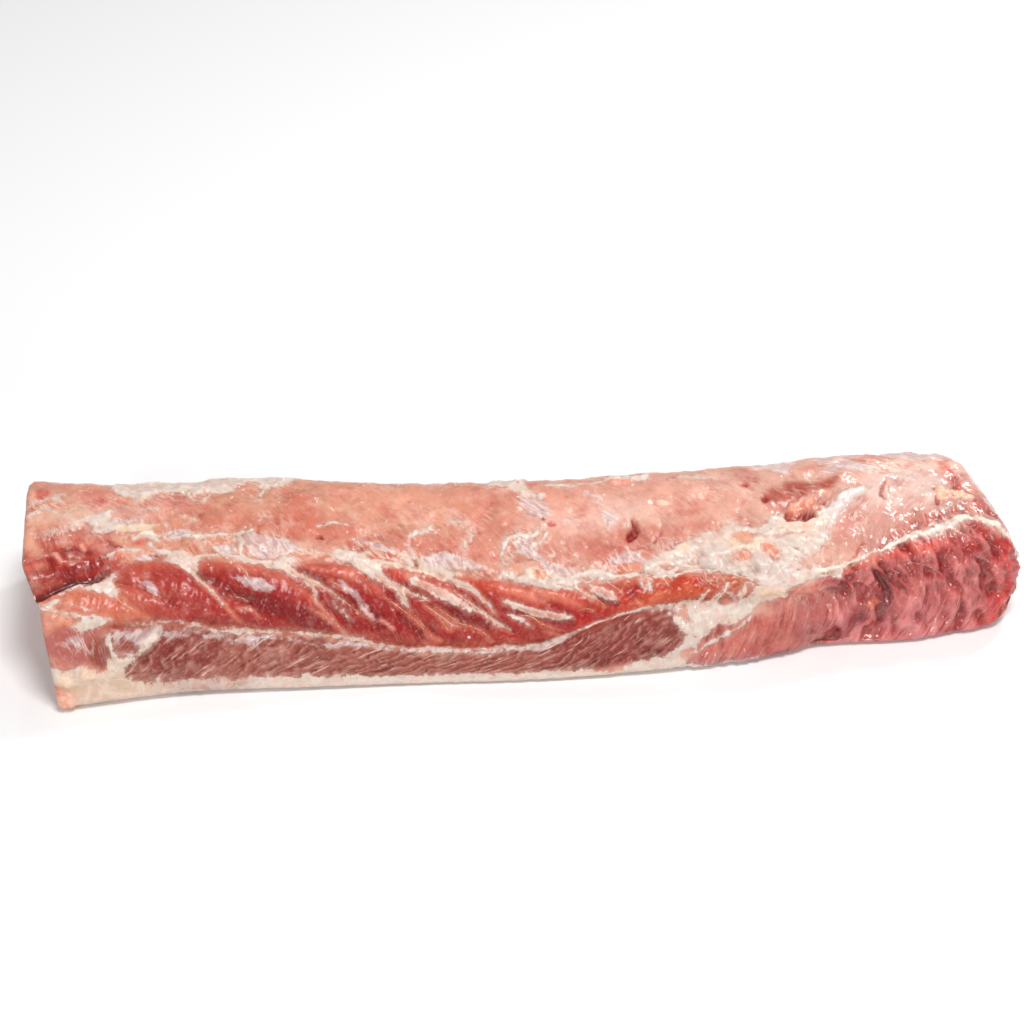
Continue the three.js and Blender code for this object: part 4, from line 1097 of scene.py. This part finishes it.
carry(skin, "gloss", "FLOAT", with_tips(GLOSS))
carry(skin, "mottled", "FLOAT", with_tips(MOTTLED))
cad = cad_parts[NODE].data
solid = BVHTree.FromPolygons([v.co for v in cad.vertices], [p.vertices for p in cad.polygons])
gaps = [solid.find_nearest(v.co)[3] / MM for v in list(skin.vertices)[::40]]
print(f"skin lies {np.mean(gaps):.2f} mm from the packed solid on average, {max(gaps):.1f} mm at most")

# %% [markdown]
# ## The finish of raw meat
#
# The material mixes three finishes by the attributes: lean, silverskin and fat. Lean is a deep, wet red with
# fibres a fraction of a millimetre wide. Light sinks a little way into it, which softens its shadows. Over
# everything lies a thin film of juice, so the shader's coat gets bumps of its own, which break the light
# into small glints.

# %% A helper for node trees
def node(tree, kind, inputs=None, **settings):
    """Adds a node, sets its settings, and links or sets its inputs."""
    made = tree.nodes.new(kind)
    for key, value in settings.items():
        setattr(made, key, value)
    for key, value in (inputs or {}).items():
        if isinstance(value, bpy.types.NodeSocket):
            tree.links.new(value, made.inputs[key])
        else:
            made.inputs[key].default_value = value
    return made


# %% Raw pork
pork = bpy.data.materials.new("raw_pork")
pork.use_nodes = True
tree = pork.node_tree
tree.nodes.clear()


def attribute(name, output="Fac"):
    return node(tree, "ShaderNodeAttribute", attribute_name=name).outputs[output]


def math_node(operation, a, b=0.0, clamp=False):
    return node(tree, "ShaderNodeMath", {0: a, 1: b}, operation=operation, use_clamp=clamp).outputs[0]


def weighed(*terms):
    """The sum of (value, weight) pairs, where a weight is a number or a socket."""
    total = 0.0
    for value, weight in terms:
        total = math_node("ADD", math_node("MULTIPLY", value, weight), total)
    return total


def noise_node(vector, scale, detail=2.0, roughness=0.5):
    inputs = {"Vector": vector, "Scale": scale, "Detail": detail, "Roughness": roughness}
    return node(tree, "ShaderNodeTexNoise", inputs).outputs["Fac"]


def step_node(value, low, high):
    """0 below low, 1 above high and a soft step between."""
    inputs = {"Value": value, "From Min": low, "From Max": high}
    return node(tree, "ShaderNodeMapRange", inputs, interpolation_type="SMOOTHSTEP").outputs["Result"]


def mix_node(share, a, b, blend="MIX"):
    made = node(tree, "ShaderNodeMix", data_type="RGBA", blend_type=blend)
    for socket, value in zip([made.inputs["Factor"], *[s for s in made.inputs if s.type == "RGBA"]],
                             [share, a, b]):
        if isinstance(value, bpy.types.NodeSocket):
            tree.links.new(value, socket)
        elif isinstance(value, (int, float)):
            socket.default_value = value
        else:
            socket.default_value = (*linear(value), 1)
    return [s for s in made.outputs if s.type == "RGBA"][0]


def mapped(vector, **places):
    return node(tree, "ShaderNodeMapping", {"Vector": vector, **places}).outputs["Vector"]


def bump_node(height, distance):
    """A normal that leans with the height, as if a height of 1 stood out by the distance in metres."""
    inputs = {"Strength": 1.0, "Distance": distance, "Height": height}
    return node(tree, "ShaderNodeBump", inputs).outputs["Normal"]


place = node(tree, "ShaderNodeTexCoord").outputs["Object"]
grain = attribute("grain", "Vector")
look = node(tree, "ShaderNodeSeparateXYZ", {0: attribute("look", "Vector")})
streaky, rugged, webbed = look.outputs

# %% The noises
along_fibres = mapped(grain, Scale=(1.0, FIBRE_STRETCH, 1.0))
fibres = noise_node(along_fibres, 0.55, 4.0, 0.65)
hairs = noise_node(along_fibres, 1.6, 2.0, 0.6)
mottle = noise_node(place, 75, 5.0, 0.62)
blush = noise_node(mapped(place, Location=(3.0, 1.0, 2.0)), 55, 4.0, 0.6)
fine = noise_node(place, 480, 4.0, 0.65)
strand_noise = node(tree, "ShaderNodeTexNoise", {
    "Vector": mapped(grain, Scale=(1.0, 0.45, 1.0)), "Scale": 0.17, "Detail": 5.0, "Roughness": 0.6,
    "Distortion": 0.6}).outputs["Fac"]
ridge = math_node("ABSOLUTE", math_node("SUBTRACT", strand_noise, 0.5))
strands = step_node(ridge, 0.06, 0.01)

# %% Lean
lean = attribute("lean", "Color")
lean = mix_node(math_node("MULTIPLY", step_node(mottle, 0.5, 0.72), attribute("mottled")), lean,
                (246, 206, 186))
deep = mix_node(1.0, lean, (226, 160, 156), "MULTIPLY")
lean = mix_node(math_node("MULTIPLY", step_node(blush, 0.48, 0.75), 0.75), lean, deep)
lean = mix_node(math_node("MULTIPLY", step_node(fibres, 0.54, 0.74), streaky), lean, (236, 196, 180))
darker = mix_node(1.0, lean, (196, 118, 112), "MULTIPLY")
lean = mix_node(math_node("MULTIPLY", step_node(fibres, 0.47, 0.28), rugged), lean, darker)
web_share = math_node("MULTIPLY", strands, math_node("MULTIPLY", webbed, step_node(blush, 0.38, 0.6)))
lean = mix_node(web_share, lean, (243, 228, 214))
lean = mix_node(math_node("MULTIPLY", step_node(fine, 0.52, 0.7), 0.12), lean, (250, 206, 186))
lean = mix_node(math_node("MULTIPLY", step_node(fine, 0.48, 0.3), 0.25), lean, deep)

# %% Silverskin and fat over the lean
torn = noise_node(place, 260, 4.0, 0.65)
edge = weighed((torn, 6.0), (fibres, 1.5), (1.0, -3.75))
fat_place = math_node("ADD", attribute("fat"), edge)
fat_share = step_node(fat_place, -0.4, 0.5)
fat_halo = math_node("MULTIPLY", step_node(fat_place, -3.0, 0.5), 0.25)
silver_place = math_node("ADD", attribute("silver"), edge)
silver_share = math_node("MULTIPLY", step_node(silver_place, -1.0, 1.0), weighed((mottle, 0.7), (1.0, 0.3)))
silver_tone = mix_node(step_node(ridge, 0.1, 0.0), (198, 172, 172), (232, 216, 212))
fat_tone = mix_node(math_node("MULTIPLY", step_node(mottle, 0.45, 0.7), 0.5),
                    attribute("fat_colour", "Color"), (226, 182, 164))
fat_tone = mix_node(math_node("MULTIPLY", step_node(ridge, 0.1, 0.0), 0.35), fat_tone, (240, 226, 216))
fat_tone = mix_node(math_node("MULTIPLY", step_node(torn, 0.5, 0.3), 0.45), fat_tone, (214, 158, 138))
colour = mix_node(silver_share, lean, silver_tone)
colour = mix_node(fat_halo, colour, attribute("fat_colour", "Color"))
colour = mix_node(fat_share, colour, fat_tone)

# %% Relief finer than the mesh, and the wet surface
rough_relief = math_node("MULTIPLY", weighed((fibres, 2.4), (hairs, 0.8), (fine, 0.9)), rugged)
height = weighed((rough_relief, 1.0), (fine, 0.6), (torn, 0.5), (fat_share, 0.5), (silver_share, 0.3),
                 (strands, 0.15))
bump = bump_node(height, 0.4 * MM)
beads = noise_node(mapped(grain, Scale=(1.0, 0.4, 1.0)), 0.42, 1.0, 0.5)
drops = noise_node(place, 700, 1.0, 0.5)
wet_height = weighed((beads, 1.0), (drops, 0.5), (fibres, 0.4), (fat_share, 0.3), (strands, 0.1))
wet_bump = bump_node(wet_height, 0.2 * MM)
surface = node(tree, "ShaderNodeBsdfPrincipled", {
    "Base Color": colour, "Roughness": weighed((mottle, 0.2), (fat_share, 0.1), (1.0, 0.4)), "Normal": bump,
    "Subsurface Weight": 0.12, "Subsurface Radius": (1.0, 0.35, 0.2), "Subsurface Scale": 0.0015,
    "Specular IOR Level": 0.25, "Coat Weight": attribute("gloss"), "Coat Roughness": 0.08,
    "Coat Normal": wet_bump})
node(tree, "ShaderNodeOutputMaterial", {"Surface": surface.outputs["BSDF"]})
skin.materials.append(pork)

# %% [markdown]
# ## Seams and membranes that stand up
#
# A seam between two strips is a thread of connective tissue, and it stands a little proud of them. Pulled
# shreds of membrane lie over the groove, and a few fine hairs of it lie on the end muscle. Each is a line on
# the skin. A Geometry Nodes tree lays a flat tube along every line, as wide as the line says and turned to
# the skin's own normal. Threads drawn in the colour alone would look flat when light falls across them.

# %% Points on the skin at any place
SKIN_ACROSS = np.roll(SKIN, -1, 1) - np.roll(SKIN, 1, 1)
SKIN_NORMAL = np.cross(np.gradient(SKIN, axis=0), SKIN_ACROSS)
SKIN_NORMAL /= np.maximum(np.linalg.norm(SKIN_NORMAL, axis=-1, keepdims=True), 1e-9)
RING_OF, STEP_OF = np.arange(len(ring_u)), np.arange(len(round_v))


def on_skin(field, a, w):
    """A field of the grid at places (along, round), between its four nearest grid points."""
    ring = np.clip(np.interp(np.asarray(a) / LENGTH, ring_u, RING_OF), 0, len(ring_u) - 1.001)
    step = np.interp(np.interp(w, SPAN_MM, RAIL_NUMBERS), round_v, STEP_OF)
    i, j = ring.astype(int), step.astype(int)
    s, t = (ring - i)[:, None], (step - j)[:, None]
    k = (j + 1) % len(round_v)
    here, next_step = (field[i, m] * (1 - s) + field[i + 1, m] * s for m in (j, k))
    return here * (1 - t) + next_step * t


# %% Lines for the threads, the loose shreds and the hairs
SHREDS = [
    [(114, 23, 0.3), (120, 26, 0.7), (127, 29, 0.3)], [(152, 24, 0.3), (160, 27, 0.7), (168, 30, 0.3)],
    [(205, 27, 0.3), (210, 28.5, 0.7), (215, 30, 0.3)],
    [(271, 23.5, 0.3), (280, 26.5, 0.7), (289, 30, 0.3)],
    [(290, 30, 0.4), (303, 34.5, 0.8), (308, 36, 0.3)], [(319, 28, 0.3), (322, 29.5, 0.6), (325, 31, 0.3)],
]
HAIRS = [
    [(484, 58, 0.15), (490, 55, 0.35), (496, 52, 0.3), (504, 43, 0.15)],
    [(521, 53, 0.15), (524, 50, 0.35), (527, 47, 0.15)],
    [(520, 62, 0.15), (525, 55, 0.4), (530, 52, 0.35), (543, 38, 0.15)],
    [(529, 70, 0.15), (534, 64, 0.4), (540, 57, 0.15)],
    [(512, 12, 0.15), (514, 20, 0.35), (515, 28, 0.15)],
    [(448, 38, 0.15), (453, 33, 0.4), (452, 27, 0.2)],
]


def line_points(points, lift, step=1.0):
    """A smooth line through (along, round, half width) points, as rows of place, half width and normal."""
    points = np.array(points, float)
    count = len(points)
    length = np.hypot(*np.diff(points[:, :2], axis=0).T).sum()
    t = np.linspace(0, count - 1, max(4, int(length / step)))
    i = np.minimum(t.astype(int), count - 2)
    at = [points[np.clip(i + k, 0, count - 1)] for k in (-1, 0, 1, 2)]
    a, w, half = through(*at, (t - i)[:, None]).T
    half = np.maximum(half, 0.12) * (1 + 0.3 * cloud(np.stack([a, w, 0 * a], -1), 4, 1, 20))
    normal = on_skin(SKIN_NORMAL, a, w)
    return on_skin(SKIN, a, w) + normal * lift, half, normal


seam_lines = [line_points([(a, w, 0.5 * half * smooth(28, 56, w) + 0.12) for a, w, half in points], -0.08)
              for points in SEAMS]
shred_lines = [line_points([(a, w, 0.6 * half) for a, w, half in points], -0.1) for points in SHREDS]
hair_lines = [line_points([(a, w, 0.5 * half) for a, w, half in points], -0.03) for points in HAIRS]
thread_lines = seam_lines + shred_lines + hair_lines
thread_tones = [0.35] * len(SEAMS) + [0.8] * len(SHREDS) + [0.5] * len(HAIRS)
print(len(thread_lines), "threads, shreds and hairs")


# %% The tree that lays a flat tube along each line
def group(name, inputs):
    """A Geometry Nodes tree with a finish and named inputs, each as (name, kind, value)."""
    made = bpy.data.node_groups.new(name, "GeometryNodeTree")
    made.interface.new_socket("Geometry", in_out="INPUT", socket_type="NodeSocketGeometry")
    made.interface.new_socket("Geometry", in_out="OUTPUT", socket_type="NodeSocketGeometry")
    for title, kind, value in inputs:
        socket = made.interface.new_socket(title, in_out="INPUT", socket_type="NodeSocket" + kind)
        socket.default_value = value
    made.interface.new_socket("Finish", in_out="INPUT", socket_type="NodeSocketMaterial")
    return made, made.nodes.new("NodeGroupInput").outputs, made.nodes.new("NodeGroupOutput").inputs


def named(tree, name, kind):
    return node(tree, "GeometryNodeInputNamedAttribute", {"Name": name},
                data_type=kind).outputs["Attribute"]


threads_tree, given, result = group("threads", [("Flatness", "Float", 0.4), ("Sides", "Int", 8)])
lines = node(threads_tree, "GeometryNodeMeshToCurve", {"Mesh": given["Geometry"]}).outputs["Curve"]
lines = node(threads_tree, "GeometryNodeSetCurveNormal", {
    "Curve": lines, "Normal": named(threads_tree, "skin_normal", "FLOAT_VECTOR")},
             mode="FREE").outputs["Curve"]
circle = node(threads_tree, "GeometryNodeCurvePrimitiveCircle",
              {"Resolution": given["Sides"], "Radius": 1.0})
flat = node(threads_tree, "ShaderNodeCombineXYZ",
            {"X": given["Flatness"], "Y": 1.0, "Z": 1.0}).outputs["Vector"]
profile = node(threads_tree, "GeometryNodeTransform", {"Geometry": circle.outputs["Curve"], "Scale": flat})
tubes = node(threads_tree, "GeometryNodeCurveToMesh", {
    "Curve": lines, "Profile Curve": profile.outputs["Geometry"],
    "Scale": named(threads_tree, "half_width", "FLOAT"),
    "Fill Caps": True}).outputs["Mesh"]
tubes = node(threads_tree, "GeometryNodeSetShadeSmooth", {"Geometry": tubes}).outputs["Geometry"]
tubes = node(threads_tree, "GeometryNodeRealizeInstances", {"Geometry": tubes}).outputs["Geometry"]
tubes = node(threads_tree, "GeometryNodeSetMaterial", {"Geometry": tubes, "Material": given["Finish"]})
threads_tree.links.new(tubes.outputs["Geometry"], result["Geometry"])

# %% [markdown]
# ### Their finish
#
# Wet connective tissue is a milky white that takes on the pink of what lies under it.

# %% Membrane
membrane = bpy.data.materials.new("membrane")
membrane.use_nodes = True
tree = membrane.node_tree
tree.nodes.clear()
place = node(tree, "ShaderNodeTexCoord").outputs["Object"]
cloudy = noise_node(place, 180, 3.0, 0.6)
fine = noise_node(place, 900, 2.0, 0.5)
pale = mix_node(step_node(cloudy, 0.35, 0.7), (232, 180, 162), (243, 226, 212))
pale = mix_node(attribute("tone"), (222, 144, 116), pale)
bump = bump_node(weighed((fine, 1.0), (cloudy, 1.0)), 0.5 * MM)
surface = node(tree, "ShaderNodeBsdfPrincipled", {
    "Base Color": pale, "Roughness": weighed((fine, 0.3), (1.0, 0.3)), "Normal": bump,
    "Subsurface Weight": 0.3, "Subsurface Radius": (1.0, 0.5, 0.35), "Subsurface Scale": 0.002,
    "Coat Weight": 0.4, "Coat Roughness": 0.1})
node(tree, "ShaderNodeOutputMaterial", {"Surface": surface.outputs["BSDF"]})


# %% From lines to a mesh
def grown(source, tree, settings):
    """What a Geometry Nodes tree makes of an object, as a new mesh. The modifier is taken off the source
    again.
    """
    modifier = source.modifiers.new("grow", "NODES")
    modifier.node_group = tree
    for item in tree.interface.items_tree:
        if item.in_out == "INPUT" and item.name in settings:
            modifier[item.identifier] = settings[item.name]
    bpy.context.view_layer.update()
    evaluated = source.evaluated_get(bpy.context.evaluated_depsgraph_get())
    mesh = bpy.data.meshes.new_from_object(evaluated)
    source.modifiers.remove(modifier)
    return mesh


def placed(name, mesh):
    mesh.name = name
    made = bpy.data.objects.new(name, mesh)
    bpy.context.scene.collection.objects.link(made)
    return made


rows, halves, normals, tones, links = [], [], [], [], []
for (points, half, normal), tone in zip(thread_lines, thread_tones):
    first = len(rows)
    tones += [tone] * len(points)
    rows += (points * MM).tolist()
    halves += (half * MM).tolist()
    normals += normal.tolist()
    links += [(first + k, first + k + 1) for k in range(len(points) - 1)]
lines_mesh = bpy.data.meshes.new("lines")
lines_mesh.from_pydata(rows, links, [])
carry(lines_mesh, "half_width", "FLOAT", np.array(halves))
carry(lines_mesh, "skin_normal", "FLOAT_VECTOR", np.array(normals))
carry(lines_mesh, "tone", "FLOAT", np.array(tones))
lines_object = placed("lines", lines_mesh)
thread_settings = {"Flatness": 0.45, "Sides": 8, "Finish": membrane}
threads = placed("seam_threads", grown(lines_object, threads_tree, thread_settings))
bpy.data.objects.remove(lines_object)
print("threads:", len(threads.data.polygons), "faces")

# %% [markdown]
# ## Flecks of fat, and flecks as painted glints
#
# Boning leaves small flakes of fat lying on the meat, most of them near the seams. On the end muscle lie
# many smaller pale flecks, which stand in for the glints of its wet surface as painted highlights. A copy of
# the skin carries a measure of how thick they lie, and a Geometry Nodes tree scatters flat grains over it
# with a fixed seed.

# %% The tree that scatters the flecks
flecks_tree, given, result = group("flecks", [
    ("Most", "Float", 20000.0), ("Seed", "Int", 4), ("Smallest", "Float", 0.0003),
    ("Largest", "Float", 0.0011)])
density = node(flecks_tree, "ShaderNodeMath", {
    0: named(flecks_tree, "flecks", "FLOAT"), 1: given["Most"]}, operation="MULTIPLY").outputs[0]
spread = node(flecks_tree, "GeometryNodeDistributePointsOnFaces", {
    "Mesh": given["Geometry"], "Density": density, "Seed": given["Seed"]}).outputs
BALL_SEGMENTS, BALL_RINGS = 8, 5
ball = node(flecks_tree, "GeometryNodeMeshUVSphere", {
    "Segments": BALL_SEGMENTS, "Rings": BALL_RINGS, "Radius": 1.0}).outputs["Mesh"]
ball = node(flecks_tree, "GeometryNodeSetShadeSmooth", {"Geometry": ball}).outputs["Geometry"]
size = node(flecks_tree, "FunctionNodeRandomValue", {
    2: given["Smallest"], 3: given["Largest"], "Seed": 1}, data_type="FLOAT").outputs[1]
shape = node(flecks_tree, "FunctionNodeRandomValue", {
    0: (0.9, 0.5, 0.3), 1: (1.8, 1.0, 0.6), "Seed": 2}, data_type="FLOAT_VECTOR").outputs[0]
size = node(flecks_tree, "ShaderNodeMath", {
    0: size, 1: named(flecks_tree, "fleck_size", "FLOAT")}, operation="MULTIPLY").outputs[0]
shape = node(flecks_tree, "ShaderNodeVectorMath", {0: shape, "Scale": size},
             operation="SCALE").outputs["Vector"]
turn = node(flecks_tree, "FunctionNodeRandomValue", {
    0: (-0.3, -0.3, 0), 1: (0.3, 0.3, 6.3), "Seed": 3}, data_type="FLOAT_VECTOR").outputs[0]
turn = node(flecks_tree, "FunctionNodeRotateRotation", {
    "Rotation": spread["Rotation"], "Rotate By": turn}, rotation_space="LOCAL").outputs["Rotation"]
flecks = node(flecks_tree, "GeometryNodeInstanceOnPoints", {
    "Points": spread["Points"], "Instance": ball, "Rotation": turn, "Scale": shape}).outputs["Instances"]
flecks = node(flecks_tree, "GeometryNodeRealizeInstances", {"Geometry": flecks}).outputs["Geometry"]
flecks = node(flecks_tree, "GeometryNodeSetMaterial", {"Geometry": flecks, "Material": given["Finish"]})
flecks_tree.links.new(flecks.outputs["Geometry"], result["Geometry"])

# %% Where the flecks lie
near_seam = hump(np.minimum(COVERED, 0), 0, 4) * smooth(60, 72, W) * (1 - smooth(150, 160, W))
# On the end muscle the flecks lie thickest and smallest: there they are painted glints of the wet surface.
FLECKS = 0.06 * TOP + 0.5 * near_seam + 0.02 * STRIPS + 1.2 * CHUNK * smooth(30, 50, W)
FLECKS = FLECKS + 0.3 * CHUNK + 0.04 * BAND
FLECKS = raised_at(FLECKS, A, W, [
    (320, 120, 30, 9, 0.5), (60, 84, 20, 10, 0.5), (112, 82, 12, 10, 0.7), (220, 74, 40, 7, 0.7),
    (300, 76, 40, 6, 0.7), (500, 140, 40, 10, 0.5), (425, 92, 30, 8, 0.4), (350, 144, 16, 6, 0.8),
])
scatter_mesh = skin.copy()
carry(scatter_mesh, "tone", "FLOAT", 0.4 + 0.6 * with_tips(smooth(-0.3, 0.3, cloud(BASE, 2, 1, 21))))
carry(scatter_mesh, "flecks", "FLOAT", with_tips(FLECKS))
carry(scatter_mesh, "fleck_size", "FLOAT", with_tips(1 - 0.6 * CHUNK))
scatter_object = placed("scatter", scatter_mesh)
fat_and_glint_flecks = placed("fat_and_glint_flecks", grown(scatter_object, flecks_tree, {"Finish": membrane}))
bpy.data.objects.remove(scatter_object)
print("flecks:", len(fat_and_glint_flecks.data.polygons) // (BALL_SEGMENTS * BALL_RINGS))

# %% [markdown]
# ## Into the frame
#
# Every piece moves with the loin's one body. The skin stands in for the imported solid.

# %% Bodies, and the imported solid hidden
for piece in (loin, threads, fat_and_glint_flecks):
    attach(piece, "root")
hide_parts(NODE)

# %% [markdown]
# ## Floor, light and camera
#
# The floor is a plain pale sheet. A large lamp overhead and a white sky give the soft light. Four smaller
# lamps, two in front and two behind, shape the sides and make the wet surface glint. The camera stands in
# front, a little to the left, and looks down on the loin.

# %% Floor
floor_mesh = bpy.data.meshes.new("floor")
floor_mesh.from_pydata([(-4, -4, 0), (4, -4, 0), (4, 4, 0), (-4, 4, 0)], [], [(0, 1, 2, 3)])
floor = bpy.data.objects.new("floor", floor_mesh)
bpy.context.scene.collection.objects.link(floor)
white = bpy.data.materials.new("floor_white")
white.use_nodes = True
white.node_tree.nodes["Principled BSDF"].inputs["Base Color"].default_value = (0.95, 0.95, 0.95, 1)
white.node_tree.nodes["Principled BSDF"].inputs["Roughness"].default_value = 0.9
floor_mesh.materials.append(white)

# %% Lights
def lamp(name, place, size, power):
    """A square lamp that faces the middle of the loin."""
    data = bpy.data.lights.new(name, "AREA")
    data.size = size
    data.energy = power
    made = bpy.data.objects.new(name, data)
    made.location = place
    made.rotation_euler = (Vector((0, 0, 0.03)) - Vector(place)).to_track_quat("-Z", "Y").to_euler()
    bpy.context.scene.collection.objects.link(made)


lamp("overhead", (0.2, -0.4, 1.9), 0.6, 22)
lamp("front left", (-1.0, -1.6, 1.1), 0.28, 7)
lamp("front right", (0.8, -1.75, 0.5), 0.24, 6)
lamp("key", (0.8, 0.7, 1.2), 0.2, 6)
lamp("behind", (-0.2, 1.6, 1.35), 0.16, 2)
world = bpy.data.worlds.new("studio")
world.use_nodes = True
world.node_tree.nodes["Background"].inputs["Color"].default_value = (1, 1, 1, 1)
world.node_tree.nodes["Background"].inputs["Strength"].default_value = 0.35
bpy.context.scene.world = world
bpy.context.scene.view_settings.view_transform = "Standard"

# %% Camera
VIEW_AZIMUTH, VIEW_ELEVATION = math.radians(-6), math.radians(38)
VIEW_DISTANCE = 1360
SENSOR_WIDTH, FOCAL_LENGTH = 36, 77.34375
AIM = np.array([0, 92, 0]) + SHIFT
back = np.array([math.sin(VIEW_AZIMUTH) * math.cos(VIEW_ELEVATION),
                 -math.cos(VIEW_AZIMUTH) * math.cos(VIEW_ELEVATION), math.sin(VIEW_ELEVATION)])
camera = bpy.data.objects.new("camera", bpy.data.cameras.new("camera"))
camera.data.sensor_width = SENSOR_WIDTH
camera.data.lens = FOCAL_LENGTH
camera.location = Vector((AIM + VIEW_DISTANCE * back) * MM)
camera.rotation_euler = Vector(-back).to_track_quat("-Z", "Y").to_euler()
bpy.context.scene.collection.objects.link(camera)
bpy.context.scene.camera = camera
